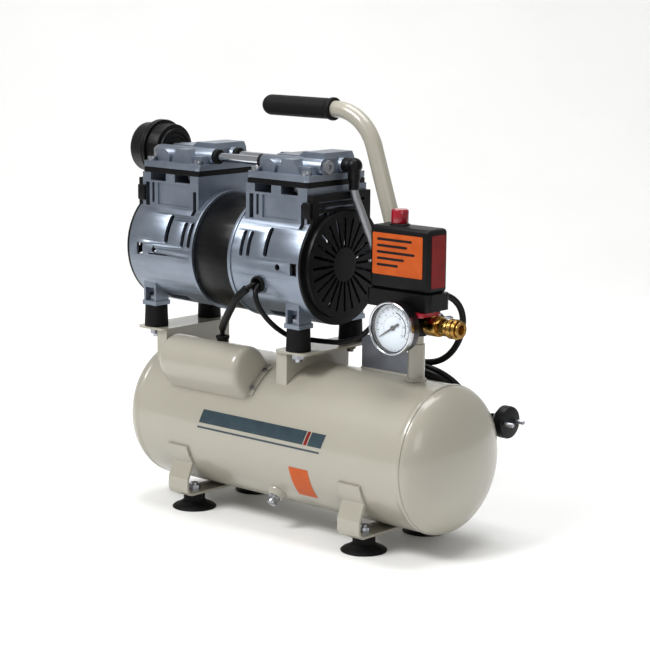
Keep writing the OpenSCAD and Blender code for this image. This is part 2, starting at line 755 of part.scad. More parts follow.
module silencer_cap() {
  color("#17171a") at_silencer() difference() {
    union() {
      along(silencer_x - silencer_len / 2, silencer_r + 4.5, 4, 96);
      along(silencer_x - silencer_len / 2, silencer_r, silencer_len / 2 - 3, 96);
      along(silencer_x - 4, silencer_r - 5, 4, 96);
      along(silencer_x - 1, 7.5, 10);
      along(silencer_x + 8, cross_d / 2, 10);
    }
    along(silencer_x - silencer_len / 2 - 1, silencer_r - 2.5, silencer_len / 2 - 4, 96);
    along(silencer_x - silencer_len / 2, 3, silencer_len);
    for (r = [13, 18]) difference() {
      along(silencer_x - 1, r + 1.2, 2);
      along(silencer_x - 2, r, 4);
    }
  }
}

module at_ports() { for (y = [-port_front, port_rear]) translate([pump_x, y, port_z]) children(); }
inner_face = cyl_x - 43.5;
outer_face = cyl_x + 43.5;

module crossover_tubes() {
  color("#c9ccd2") at_ports() difference() {
    along(-inner_face - 6, cross_d / 2, 2 * inner_face + 12);
    along(-inner_face - 7, cross_d / 2 - 1.2, 2 * inner_face + 14);
  }
}

module port_seals() {
  color("#141416") at_ports() for (s = [-1, 1]) difference() {
    along(s * (inner_face - 2.5) - 2.5, 8, 5);
    along(s * (inner_face - 2.5) - 4, cross_d / 2 + fit, 8);
  }
}

module port_plugs() {
  color("#b9bcc0") translate([pump_x, -port_front, port_z]) for (s = [-1, 1]) {
    along(s * (outer_face - 3) - 5, cross_d / 2, 10);
    difference() {
      along(s * (outer_face + 3) - 3, 7.5, 6, 6);
      along(s * (outer_face + 5) - 2.5, 3.2, 5);
    }
  }
}

module hose_elbow() {
  color("#17171a") translate([0, port_rear, port_z]) difference() {
    union() {
      along(pump_x + outer_face - 8, cross_d / 2, 10);
      along(pump_x + outer_face, 8, 8.5);
      translate([elbow_x, 0, 0]) sphere(r = 8.6);
      translate([elbow_x, 0, -14]) cylinder(r = 7, h = 14);
    }
    translate([elbow_x, 0, -15]) cylinder(r = 3, h = 15);
    along(elbow_x - 50, 2.5, 50);
  }
  color("#c9ccd2") translate([elbow_x, port_rear, port_z - 25]) difference() {
    cylinder(r = 5.6, h = 11);
    translate([0, 0, -1]) cylinder(r = 4.9, h = 13);
  }
}

module braided_hose() { color("#8d8f94") tube(HOSE_ROUTE, 9, [1, 0, 0.01], 3, 12); }

module check_valve() {
  color("#c8a24a") translate([check_x, check_y, check_z]) difference() {
    union() {
      translate([0, 0, -7]) cylinder(r = 8, h = 43);
      translate([0, 0, 8]) cylinder(r = 12, h = 10, $fn = 6);
      translate([0, 0, 34]) cylinder(r = 9.5, h = 8, $fn = 6);
    }
    translate([0, 0, -8]) cylinder(r = 4.6, h = 60);
  }
}

// ---- Riser, manifold and pressure switch ----

module riser_pipe() {
  color("#cfcab8") translate([riser_x, 0, 0]) difference() {
    union() {
      translate([0, 0, tank_top - 6]) cylinder(r = riser_d / 2, h = manifold_rise - 15);
      translate([0, 0, tank_top - 0.6]) cylinder(r1 = riser_d / 2 + 3.5, r2 = riser_d / 2, h = 4);
    }
    tank_cylinder_in_riser();
    translate([0, 0, tank_top - 7]) cylinder(r = riser_d / 2 - 2.5, h = 60);
  }
  color("#b9bcc0") translate([riser_x, 0, manifold_z - 21]) difference() {
    cylinder(r = riser_d / 2 - 1.5, h = 9);
    translate([0, 0, -1]) cylinder(r = 5, h = 12);
  }
}

// Keeps the weld fillet outside the tank's curve.
module tank_cylinder_in_riser() {
  difference() {
    translate([-30, -30, tank_top - 8]) cube([60, 60, 8 + 0.02]);
    translate([0, 0, tank_top - 9]) cylinder(r = riser_d / 2, h = 12);
  }
}

module manifold() {
  color("#26272b") translate([riser_x, 0, manifold_z]) difference() {
    union() {
      translate([0, 0, -12]) cylinder(r = 12, h = 28.5, $fn = 6);
      along(-11, 9.5, 24);
      rotate([90, 0, 0]) translate([0, 0, -15]) cylinder(r = 9.5, h = 30);
    }
    translate([0, 0, -13]) cylinder(r = 5, h = 40);
    along(0, 5, 30);
    rotate([90, 0, 0]) translate([0, 0, -20]) cylinder(r = 5, h = 40);
  }
}

module switch_frame(z) { translate([switch_x, switch_y, z]) children(); }

module switch_base() {
  color("#1c1d20") switch_frame(switch_z) difference() {
    union() {
      rounded(switch_len + 5, switch_dep + 5, 6, switch_base_h);
      translate([0, 0, switch_base_h - 0.01]) rounded(switch_len - 6, switch_dep - 6, 3, 2.5);
      translate([-4, 0, switch_base_h]) rounded(34, 20, 2, 22);
    }
    translate([riser_x - switch_x, -switch_y, -1]) cylinder(r = 4, h = 8);
    translate([-30, 0, 3]) rounded(12, 20, 3, 30);
    translate([gland_x - switch_x, 5, 8.5]) rotate([-90, 0, 0]) cylinder(r = 5.02, h = 40);
    translate([107 - switch_x, -6 - switch_y, -1]) cylinder(r = 4.4, h = 8);
  }
}

module switch_cover() {
  color("#1c1d20") switch_frame(cover_z) difference() {
    union() {
      rounded(switch_len, switch_dep, 6, switch_h - 5);
      translate([0, 0, switch_h - 5.01]) rounded(switch_len - 4, switch_dep - 4, 5, 2.5);
      translate([0, 0, switch_h - 2.6]) rounded(switch_len - 10, switch_dep - 10, 4, 2.6);
      translate([switch_knob_x, 0, switch_h - 1]) cylinder(r = 10.5, h = 3);
    }
    translate([0, 0, -0.01]) rounded(switch_len - 5, switch_dep - 5, 4, switch_h - 5);
    translate([switch_knob_x, 0, 0]) cylinder(r = 6.05, h = switch_h + 5);
  }
}
switch_knob_x = -12;

module switch_knob() {
  color("#b5202a") switch_frame(cover_z + switch_h) translate([switch_knob_x, 0, 0]) {
    translate([0, 0, -8 - knob_travel]) cylinder(r = 6, h = 12 + knob_travel);
    translate([0, 0, 2.5]) cylinder(r = 9, h = 13);
    translate([0, 0, 14]) cylinder(r1 = 9, r2 = 7.5, h = 2.5);
  }
}

// ---- Gauge ----

module gauge_frame() { translate([riser_x, gauge_y, manifold_z]) rotate([90, 0, 0]) children(); }

module gauge_case() {
  color("#8f9298") gauge_frame() difference() {
    union() {
      translate([0, 0, -gauge_dep]) cylinder(r = gauge_d / 2 - 1.5, h = gauge_dep, $fn = 96);
      translate([0, 0, -6]) cylinder(r = gauge_d / 2, h = 6, $fn = 96);
      translate([0, 0, gauge_y + 7.5]) cylinder(r = 4.95, h = 2 - gauge_y - 7.5 - gauge_dep);
      translate([0, 0, gauge_y + 15.1]) cylinder(r = 7.5, h = 8, $fn = 6);
    }
    translate([0, 0, -gauge_dep + 2]) cylinder(r = gauge_d / 2 - 3, h = gauge_dep, $fn = 96);
  }
}

module gauge_dial() {
  color("#e8ecf0") gauge_frame() difference() {
    union() {
      translate([0, 0, -7]) cylinder(r = gauge_d / 2 - 3.02, h = 1.5, $fn = 96);
      translate([0, 0, -gauge_dep + 2.02]) cylinder(r = 8, h = gauge_dep - 9);
    }
    translate([0, 0, -gauge_dep]) cylinder(r = 1.05, h = gauge_dep);
  }
}

module gauge_needle() {
  color("#141416") gauge_frame() {
    translate([0, 0, 4 - gauge_dep]) cylinder(r = 1, h = gauge_dep - 8);
    translate([0, 0, -5.2]) cylinder(r = 2.6, h = 1.4);
    translate([0, 0, -5]) rotate([0, 0, 212]) linear_extrude(0.6)
      polygon([[-9, -1.4], [-9, 1.4], [0, 1.2], [20, 0.3], [20, -0.3], [0, -1.2]]);
  }
}

module gauge_lens() {
  color("#dfe8ee", 0.25) gauge_frame() translate([0, 0, -2.4]) cylinder(r = gauge_d / 2 - 3.02, h = 1.6, $fn = 96);
}

// ---- Safety valve, outlet tap and quick coupler ----

module safety_valve() {
  color("#c4c7cc") translate([riser_x, 15, manifold_z]) rotate([-90, 0, 0]) difference() {
    union() {
      translate([0, 0, -8]) cylinder(r = 4.95, h = 9);
      cylinder(r = 8.5, h = 8, $fn = 6);
      translate([0, 0, 8]) cylinder(r = 7, h = 14);
      translate([0, 0, 22]) cylinder(r1 = 7, r2 = 5, h = 3);
    }
    translate([0, 0, 4]) cylinder(r = 1.3, h = 30);
    for (a = [0, 90]) rotate([0, 0, a]) translate([-10, -1.5, 12]) cube([20, 3, 6]);
  }
}

module safety_ring() {
  color("#b9bcc0") translate([riser_x, 15, manifold_z]) rotate([-90, 0, 0]) {
    translate([0, 0, 6]) cylinder(r = 1.25, h = 23);
    translate([0, 0, 34.5]) rotate([90, 0, 0]) rotate_extrude() translate([6, 0]) circle(r = 0.9, $fn = 24);
  }
}

module outlet_tap() {
  color("#c4c7cc") translate([tap_x, 0, manifold_z]) difference() {
    union() {
      along(-16, 4.95, 10);
      along(-8, 9.8, 5, 6);
      along(-4, 10.5, 14);
      along(9, 9.5, 3.8, 6);
      along(12, 4.9, 6);
      cylinder(r = 6, h = 11);
    }
    sphere(r = 7.5);
    along(-20, 3.5, 45);
    cylinder(r = 3.05, h = 20);
  }
}

module tap_lever() {
  color("#b5202a") translate([tap_x, 0, manifold_z]) difference() {
    union() {
      sphere(r = 7.2);
      cylinder(r = 3, h = 14);
      translate([0, 0, 11.2]) cylinder(r = 7.5, h = 4.2);
      translate([-5, -21, 11.2]) cube([10, 19, 4.2]);
      translate([0, -21, 11.2]) cylinder(r = 5, h = 4.2);
    }
    rotate([90, 0, 0]) translate([0, 0, -10]) cylinder(r = 3.5, h = 20);
  }
}

module coupler_body() {
  color("#b98b3c") translate([0, 0, manifold_z]) difference() {
    union() {
      along(coupler_x, 9, 6, 6);
      along(coupler_x + 5, 7.5, 18);
      along(coupler_x + 22, 8.6, 2);
    }
    along(coupler_x - 1, 4.95, 6);
    along(coupler_x + 6, coupler_bore / 2, 30);
    along(coupler_x + 4, 3, 10);
  }
}

module coupler_sleeve() {
  sleeve_x = coupler_x + 6.5 + sleeve_travel;
  color("#8a6a30") translate([0, 0, manifold_z]) difference() {
    union() {
      along(sleeve_x, 9.6, 11);
      along(sleeve_x + 1.2, 10.4, 2.4);
      along(sleeve_x + 7.4, 10.4, 2.4);
    }
    along(sleeve_x - 5, 7.56, 30);
  }
}

// ---- Handle ----

// Centre line from the grip's end, round the upper bend, down the slope and to the foot.
function turn(cx, cz, r, a, b, n) =
  [for (i = [0:n]) [cx + r * cos(a + (b - a) * i / n), handle_y, cz + r * sin(a + (b - a) * i / n)]];
HANDLE_LINE = concat(
  [[handle_top_x - grip_len + 6, handle_y, handle_z]],
  turn(handle_top_x, handle_z - handle_bend, handle_bend, 90, handle_lean, 10),
  turn(handle_foot_x - handle_bend, slope_foot_z - lean_down, handle_bend, handle_lean, 0, 4),
  [[handle_foot_x, handle_y, handle_knee_z]]);

module handle_tube() {
  color("#cfcab8") {
    tube(HANDLE_LINE, handle_d, [0, 1, 0], 1, 24);
    difference() {
      union() {
        translate([handle_foot_x, handle_y, tank_top - 12])
          cylinder(r = handle_d / 2, h = handle_knee_z - tank_top + 12);
        translate([handle_foot_x, handle_y - handle_d / 2 + 1, tank_top - 12]) rotate([90, 0, 0])
          linear_extrude(3) polygon([[-40, 0], [-40, 47], [12, 47], [24, 30], [24, 0]]);
      }
      tank_cylinder(tank_r, 0, 200);
    }
  }
}

module handle_grip() {
  color("#161618") translate([handle_top_x - 3, handle_y, handle_z]) difference() {
    union() {
      along(-grip_len + 6, grip_d / 2, grip_len - 6);
      translate([-grip_len + 6, 0, 0]) sphere(r = grip_d / 2);
      along(-5, grip_d / 2 + 1.2, 5);
    }
    along(-grip_len + 9, handle_d / 2 + 0.01, grip_len);
  }
}

// ---- Cables and mains lead ----

module motor_cables() {
  color("#141416") {
    tube(MOTOR_TO_CAPACITOR, cable_d, [1, 1, 1], 3, 10);
    tube(MOTOR_TO_SWITCH, cable_d, [1, 1, 1], 3, 10);
  }
}

module cord_gland() {
  color("#141416") translate([gland_x, 0, gland_z]) rotate([-90, 0, 0]) difference() {
    union() {
      translate([0, 0, 10]) cylinder(r = 5, h = 8);
      translate([0, 0, switch_y + switch_dep / 2 + 2.5]) cylinder(r = 7.5, h = 4);
      translate([0, 0, switch_y + switch_dep / 2 + 6]) cylinder(r1 = 6, r2 = 4.4, h = 38 - switch_y - switch_dep / 2 - 6);
    }
    translate([0, 0, 5]) cylinder(r = cord_d / 2, h = 40);
  }
}

module power_cord() {
  color("#141416") {
    tube(CORD_ROUTE, cord_d, [1, 0.1, 0.1], 3, 10);
    tube(TAIL_ROUTE, cord_d, [0, 1, 0.1], 2, 10);
  }
}

module cord_coil() {
  color("#141416") translate([coil_x, coil_y, coil_z]) rotate([-coil_tilt, 0, 0]) rotate_extrude($fn = 64)
    translate([coil_r - 7, -coil_half]) square([14, 2 * coil_half]);
}

module power_plug() {
  color("#141416") translate([0, plug_y, plug_z]) {
    along(plug_x, 6.5, 8);
    translate([plug_x + 7.5, 0, 0]) rotate([0, 90, 0]) cylinder(r1 = 9, r2 = 16, h = 9);
    along(plug_x + 16, 17.5, 11);
  }
  color("#b9bcc0") translate([0, plug_y, plug_z]) for (y = [-9.5, 9.5])
    translate([0, y, 0]) along(plug_x + 27, 2.4, 11);
}

home() tank_shell();
home() tank_ends();
home() foot_brackets();
home() rubber_feet();
home() m8_fixings();
home() drain_cock();
home() drain_knob();
home() saddles();
home() rubber_mounts();
home() capacitor_cover();
home() run_capacitor();
home() cover_screws();
home() cable_grommets();
home() crankcase_left();
home() crankcase_right();
home() motor_drum();
home() stator_core();
home() stator_windings();
home() rotor();
home() motor_shaft();
home() shaft_bearings();
home() cooling_fans();
home() fan_covers();
home() cylinder_sleeves();
home() piston_left();
home() piston_right();
home() valve_plates();
home() head_gaskets();
home() cylinder_heads();
home() head_bolts();
home() silencer_body();
home() silencer_cap();
home() crossover_tubes();
home() port_seals();
home() port_plugs();
home() hose_elbow();
home() braided_hose();
home() check_valve();
home() riser_pipe();
home() manifold();
home() switch_base();
home() switch_cover();
home() switch_knob();
home() gauge_case();
home() gauge_dial();
home() gauge_needle();
home() gauge_lens();
home() safety_valve();
home() safety_ring();
home() outlet_tap();
home() tap_lever();
home() coupler_body();
home() coupler_sleeve();
home() handle_tube();
home() handle_grip();
home() motor_cables();
home() cord_gland();
home() power_cord();
home() cord_coil();
home() power_plug();
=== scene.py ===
"""Looks of a small twin-cylinder air compressor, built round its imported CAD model.

Metres, in the CAD model's frame: +X runs along the tank towards the outlet, -Y is the front, +Z is up.
"""
import json
import math

import bmesh
import bpy
import numpy as np
from mathutils import Matrix, Vector


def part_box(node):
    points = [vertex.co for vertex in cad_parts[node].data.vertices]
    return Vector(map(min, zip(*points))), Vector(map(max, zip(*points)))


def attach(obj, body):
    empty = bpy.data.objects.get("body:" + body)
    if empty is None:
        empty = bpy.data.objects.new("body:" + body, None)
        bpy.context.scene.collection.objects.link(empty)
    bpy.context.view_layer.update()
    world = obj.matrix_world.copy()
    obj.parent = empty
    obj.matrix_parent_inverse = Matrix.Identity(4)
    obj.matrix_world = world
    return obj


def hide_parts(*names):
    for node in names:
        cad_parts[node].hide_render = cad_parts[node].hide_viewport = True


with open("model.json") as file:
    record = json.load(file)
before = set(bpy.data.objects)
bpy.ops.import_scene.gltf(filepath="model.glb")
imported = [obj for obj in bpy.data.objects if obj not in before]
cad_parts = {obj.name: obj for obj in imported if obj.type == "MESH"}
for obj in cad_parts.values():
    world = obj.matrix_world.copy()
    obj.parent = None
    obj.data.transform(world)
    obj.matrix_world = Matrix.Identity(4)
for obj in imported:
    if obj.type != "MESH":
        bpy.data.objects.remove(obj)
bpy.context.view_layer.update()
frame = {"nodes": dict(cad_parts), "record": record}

# ---- Tank ----
# Rolled and dished steel, welded round its two seams and sprayed with gloss cream enamel. One turned profile
# carries the shell, the two weld beads and the elliptical ends.
tank_lo, tank_hi = (np.array(corner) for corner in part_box("tank_ends"))
tank_mid = (tank_lo + tank_hi) / 2
tank_r = (tank_hi[2] - tank_lo[2]) / 2
tank_end = (tank_hi[0] - tank_lo[0]) / 2
shell_half = (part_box("tank_shell")[1][0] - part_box("tank_shell")[0][0]) / 2
bead_half, bead_rise = 0.0034, 0.0007


def srgb(code):
    """A hex colour as linear RGBA: each part is c / 12.92 near black, and ((c + 0.055) / 1.055) ^ 2.4 above it."""
    parts = [int(code[i:i + 2], 16) / 255 for i in (1, 3, 5)]
    return (*[c / 12.92 if c <= 0.04045 else ((c + 0.055) / 1.055) ** 2.4 for c in parts], 1.0)


def add(mat, kind, stops=(), **values):
    """Adds a shader node. A value that is a socket is linked, i0 and i1 are inputs by number, and any other value is
    set. Stops are a colour ramp's (place, hex colour or grey) pairs."""
    made = mat.node_tree.nodes.new("ShaderNode" + kind)
    for key, value in values.items():
        title = key.replace("_", " ")
        target = made.inputs[int(key[1])] if key in ("i0", "i1") else made.inputs.get(title)
        if target is None:
            setattr(made, key, value)
        elif isinstance(value, bpy.types.NodeSocket):
            mat.node_tree.links.new(value, target)
        else:
            target.default_value = value
    for _ in stops[2:]:
        made.color_ramp.elements.new(0.5)
    for element, (place, shade) in zip(made.color_ramp.elements if stops else (), stops):
        element.position = place
        element.color = srgb(shade) if isinstance(shade, str) else (shade, shade, shade, 1)
    return made


def surface(name, dark, light, rough, metal=0.0, patch=25, grain=1.1, depth=0.05, spread=0.08, coat=0.0,
            stretch=(1, 1, 1), shine=0.5):
    """A finish: colour that drifts between two tones over patches, roughness that drifts with it, and a fine bumped
    grain. Patch, grain and depth are millimetres, and stretch is how much finer the pattern is along each axis."""
    mat = bpy.data.materials.new(name)
    mat.use_nodes = True
    mat.node_tree.nodes.clear()
    at = add(mat, "Mapping", Vector=add(mat, "TexCoord").outputs["Object"], Scale=stretch).outputs["Vector"]
    drift = add(mat, "TexNoise", Vector=at, Scale=1000 / patch, Detail=5, Roughness=0.55).outputs["Fac"]
    colour = add(mat, "ValToRGB", Fac=drift, stops=[(0.3, dark), (0.7, light)])
    dull = add(mat, "ValToRGB", Fac=drift, stops=[(0.25, max(rough - spread, 0.02)), (0.75, min(rough + spread, 1))])
    fine = add(mat, "TexNoise", Vector=at, Scale=1000 / grain, Detail=3, Roughness=0.6)
    bump = add(mat, "Bump", Height=fine.outputs["Fac"], Distance=depth / 1000, Strength=0.6)
    paint = add(mat, "BsdfPrincipled", Base_Color=colour.outputs["Color"], Roughness=dull.outputs["Color"],
                Metallic=metal, Normal=bump.outputs["Normal"], Specular_IOR_Level=shine, Coat_Weight=coat,
                Coat_Roughness=0.08)
    paint.name = "paint"
    add(mat, "OutputMaterial", Surface=paint.outputs["BSDF"])
    return mat


def mesh_of(name, points, *groups):
    """A mesh from an array of points and groups of faces, each group an array with one row a face."""
    mesh = bpy.data.meshes.new(name)
    faces = [face for group in groups for face in np.asarray(group).tolist()]
    mesh.from_pydata(np.reshape(points, (-1, 3)).tolist(), [], faces)
    return mesh


def quads(rings, count, closed=True):
    """Faces of a grid of rings with count points each: point k, its next one, and the same two a ring further on. A
    closed ring joins its last point to its first."""
    ring, k = np.mgrid[0:rings - 1, 0:count if closed else count - 1].reshape(2, -1)
    near, far = ring * count, (ring + 1) * count
    following = (k + 1) % count
    return np.stack((near + k, near + following, far + following, far + k), axis=1)


def seal(mesh, merge=True):
    """Merges points that lie on one another, as at a pole or seam, and turns a closed piece's faces outwards."""
    work = bmesh.new()
    work.from_mesh(mesh)
    if merge:
        bmesh.ops.remove_doubles(work, verts=work.verts, dist=1e-6)
    bmesh.ops.recalc_face_normals(work, faces=work.faces)
    work.to_mesh(mesh)
    work.free()


def put(mesh, finish, stands_for=(), smooth=40, sheet=False):
    """Makes a mesh a piece on the compressor's body, with its finish and the CAD nodes it stands for. Edges
    sharper than smooth degrees stay sharp. A sheet keeps the side that its points were made to face."""
    mesh.validate()
    if not sheet:
        seal(mesh, merge=False)
    piece = bpy.data.objects.new(mesh.name, mesh)
    bpy.context.collection.objects.link(piece)
    mesh.materials.append(finish)
    mesh.polygons.foreach_set("use_smooth", np.ones(len(mesh.polygons), bool))
    if smooth:
        mesh.set_sharp_from_angle(angle=math.radians(smooth))
    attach(piece, "compressor")
    if stands_for:
        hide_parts(*stands_for)
    return piece


def axes_of(direction):
    """A unit vector d along a direction, u square to it (a side way crossed with d), and v = d crossed with u."""
    d = np.array(direction) / np.linalg.norm(direction)
    side = (0, 0, 1) if abs(d[2]) < 0.9 else (1, 0, 0)
    u = np.cross(side, d)
    u = u / np.linalg.norm(u)
    return d, u, np.cross(d, u)


def lathe(name, profile, origin, direction, count=96):
    """Turns (distance, radius) points about an axis: origin + distance * d + radius * (cos t * u + sin t * v), with t
    going once round."""
    d, u, v = axes_of(direction)
    turn = np.linspace(0, 2 * np.pi, count, endpoint=False)
    ring = np.outer(np.cos(turn), u) + np.outer(np.sin(turn), v)
    distance, radius = np.array(profile).T[:, :, None, None]
    mesh = mesh_of(name, np.array(origin) + distance * d + radius * ring, quads(len(profile), count))
    seal(mesh)
    return mesh


# Sprayed enamel: an even cream with faint orange peel under a clear coat.
enamel = surface("cream_enamel", "#9d998c", "#a29e91", 0.3, patch=167, grain=2.4, depth=0.06, spread=0.02, coat=0.5)
dish = tank_end - shell_half
dish_turn = np.linspace(0.04, np.pi / 2 - 0.06, 28)
bead_s = np.linspace(-1, 1, 9)
bead = np.stack((bead_half * bead_s, tank_r + bead_rise * np.cos(bead_s * np.pi / 2)), axis=1)
left_end = np.stack((-shell_half - dish * np.cos(dish_turn), tank_r * np.sin(dish_turn)), axis=1)
side_x = np.linspace(-shell_half + 0.006, shell_half - 0.006, 30)
outline = np.concatenate((
    [(-tank_end, 0)], left_end, bead - (shell_half, 0), np.stack((side_x, np.full(30, tank_r)), axis=1),
    bead + (shell_half, 0), left_end[::-1] * (-1, 1), [(tank_end, 0)]))
put(lathe("tank_body", outline, tank_mid, (1, 0, 0), 160), enamel, ["tank_shell", "tank_ends"], 0)

# ---- Welds round the pipes, and the drain boss ----
# Each pipe stands on the tank in a rippled fillet of weld that is sprayed with the tank. The drain boss is a short
# turned cone, welded under the front of the tank.
middle_of = {name: np.mean(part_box(name), axis=0) for name in frame["nodes"]}
weld_r, ripple = 0.0016, 0.0024


def mm(x, y, z):
    """Points given in millimetres from the tank's middle (X, Y) and the floor (Z), in metres. Any may be an array."""
    at = (tank_mid[0] + np.asarray(x) / 1000, tank_mid[1] + np.asarray(y) / 1000, np.asarray(z) / 1000)
    return np.stack(np.broadcast_arrays(*at), axis=-1)


def sweep(name, path, radius, count=24):
    """A tube along a path, closed at both ends: q + r * (cos a * u + sin a * v), where u starts square to the path and
    is carried on by taking away its part along each tangent t, and v = t crossed with u. Its UV map holds the turn
    round the tube, 0 to 1, and the distance along it."""
    path = np.array(path)
    tangent = np.concatenate((path[1:], path[-1:])) - np.concatenate((path[:1], path[:-1]))
    tangent /= np.linalg.norm(tangent, axis=1)[:, None]
    side, sides = axes_of(tangent[0])[1], []
    for t in tangent:
        side = side - t * (side @ t)
        side = side / np.linalg.norm(side)
        sides.append(side)
    sides = np.array(sides)
    run = np.concatenate(([0], np.cumsum(np.linalg.norm(np.diff(path, axis=0), axis=1))))
    size = np.broadcast_to(radius(run) if callable(radius) else radius, run.shape)[:, None, None]
    a = (np.arange(count) * 2 * np.pi / count)[None, :, None]
    points = path[:, None] + size * (np.cos(a) * sides[:, None] + np.sin(a) * np.cross(tangent, sides)[:, None])
    rim = np.arange(count)
    last = (len(path) - 1) * count
    mesh = mesh_of(name, points, quads(len(path), count), [rim[::-1], rim + last])
    ring, k = np.mgrid[0:len(path) - 1, 0:count].reshape(2, -1)
    around = np.stack((k, k + 1, k + 1, k), axis=1).ravel() / count
    along = run[np.stack((ring, ring, ring + 1, ring + 1), axis=1).ravel()]
    around = np.concatenate((around, rim[::-1] / count, rim / count))
    along = np.concatenate((along, np.full(count, run[0]), np.full(count, run[-1])))
    mesh.uv_layers.new(name="along").data.foreach_set("uv", np.stack((around, along), axis=1).ravel())
    return mesh


def weld_size(radius):
    """A weld's radius along its run: the radius, with a sine ripple of 16% of it."""
    return lambda run: radius * (1 + 0.16 * np.sin(run * 2 * np.pi / ripple))


def weld_ring(name, x, y, radius):
    """A weld round an upright pipe: a circle about x, y, let down by tank_r - sqrt(tank_r^2 - y^2) onto the tank."""
    u, v = axes_of((0, 0, 1))[1:]
    t = np.linspace(0, 2 * np.pi, 185)
    path = np.array((x, y, tank_hi[2] + 0.0006)) + radius * (np.outer(np.cos(t), u) + np.outer(np.sin(t), v))
    path[:, 2] -= tank_r - np.sqrt(tank_r ** 2 - (path[:, 1] - tank_mid[1]) ** 2)
    put(sweep(name, path, weld_size(weld_r), 10), enamel, (), 0)


foot_x, handle_y, handle_r = 102, 27, 0.009
weld_ring("weld_riser", middle_of["riser_pipe"][0], tank_mid[1], 0.0098)
weld_ring("weld_handle", mm(foot_x, 0, 0)[0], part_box("handle_tube")[1][1] - handle_r, 0.0098)
weld_ring("weld_valve", middle_of["check_valve"][0], middle_of["check_valve"][1], 0.0088)

drain_lean = math.radians(42)
boss = [(tank_r - 0.004, 0.0112), (tank_r + 0.0008, 0.0108), (tank_r + 0.0015, 0.0096), (tank_r + 0.0055, 0.0083),
        (tank_r + 0.006, 0.0078), (tank_r + 0.006, 0.0052), (tank_r - 0.004, 0.0052), (tank_r - 0.004, 0.0112)]
drain_from = (middle_of["drain_cock"][0], tank_mid[1], tank_mid[2])
put(lathe("drain_boss", boss, drain_from, (0, -math.sin(drain_lean), -math.cos(drain_lean)), 64),
    enamel, (), 30)

# ---- Pressed steel round the tank ----
# Foot brackets, saddles and the riser pipe are steel, bent or cut, sprayed with the tank. They stay as the CAD
# model has them, with the small rounding of a pressed edge.
parts_of = {}
for part in frame["record"]["subparts"]:
    parts_of.setdefault(part["material_slot"], []).append(frame["nodes"][part["node"]])


def soften(piece, width, segments=3, angle=35):
    """Rounds a piece's edges that are sharper than an angle in degrees, after its loose triangles are merged."""
    weld = piece.modifiers.new("weld", "WELD")
    weld.merge_threshold = 1e-5
    bevel = piece.modifiers.new("rounding", "BEVEL")
    bevel.width = width
    bevel.segments = segments
    bevel.limit_method = "ANGLE"
    bevel.angle_limit = math.radians(angle)
    bevel.use_clamp_overlap = True
    bevel.harden_normals = True


def dress(slot, finish, **rounding):
    """Gives every CAD node of a slot its finish, and rounds the named nodes' edges by millimetres."""
    for node in parts_of[slot]:
        node.data.materials.clear()
        node.data.materials.append(finish)
    for node, width in rounding.items():
        soften(frame["nodes"][node], width / 1000, 2)


dress("cream_enamel", enamel, saddles=0.5, foot_brackets=0.6)

# ---- Carrying handle ----
# An 18 mm steel tube, bent twice and welded to the tank, sprayed cream. It runs from the grip through the upper bend
# and the slope to the knee, and straight down to its foot.
grip_z, bend_r, lean, knee_z, grip_len = 447, 56, math.radians(19), 290, 97
low_z = knee_z + 8
slope_low = np.array((foot_x - bend_r * (1 - math.cos(lean)), low_z + bend_r * math.sin(lean)))
slope_high_z = grip_z - bend_r * (1 - math.sin(lean))
slope_high_x = slope_low[0] - (slope_high_z - slope_low[1]) * math.tan(lean)
bend_x = slope_high_x - bend_r * math.cos(lean)
upper = np.linspace(np.pi / 2, lean, 30)
lower = np.linspace(lean, 0, 12)
tube_line = np.concatenate((
    mm(np.linspace(bend_x - grip_len + 8, bend_x - 2, 8), handle_y, grip_z),
    mm(bend_x + bend_r * np.cos(upper), handle_y, grip_z - bend_r + bend_r * np.sin(upper)),
    mm(foot_x - bend_r + bend_r * np.cos(lower), handle_y, low_z + bend_r * np.sin(lower)),
    mm(foot_x, handle_y, np.linspace(knee_z, 173, 12))))
put(sweep("handle_bar", tube_line, handle_r, 48), enamel, ["handle_tube"], 60)

# Gusset: a 3 mm plate, welded in front of the handle's foot and along the tank. Its colour is painted shade: a dark
# blue-grey for the shade it stands in behind the gauge.
painted_shade_grey = surface("gusset_painted_shade", "#5d6068", "#696d75", 0.45, patch=25, depth=0.04)
gusset_y, plate_t, plate_z = handle_y - 8, 3, 164.5
corner_x, corner_z = np.array([(-40, 0), (-40, 47), (12, 47), (24, 30), (24, 0)]).T


def tank_top(y):
    """The height of the tank's surface above the floor at a distance y from its middle, in millimetres."""
    return math.sqrt((tank_r * 1000) ** 2 - y ** 2) + tank_mid[2] * 1000


plate = [mm(foot_x + corner_x, y, np.where(corner_z == 0, tank_top(y) - 0.4, plate_z + corner_z))
         for y in (gusset_y, gusset_y - plate_t)]
rim = np.arange(5)
gusset = mesh_of("handle_gusset", plate, quads(2, 5), [rim[::-1], rim + 5])
soften(put(gusset, painted_shade_grey), 0.0006)
toe_y = gusset_y - plate_t - 0.4
toe = mm(np.linspace(foot_x - 40, foot_x + 24, 70), toe_y, tank_top(toe_y) + 0.3)
put(sweep("weld_gusset", toe, weld_size(0.0013), 10), enamel, (), 0)

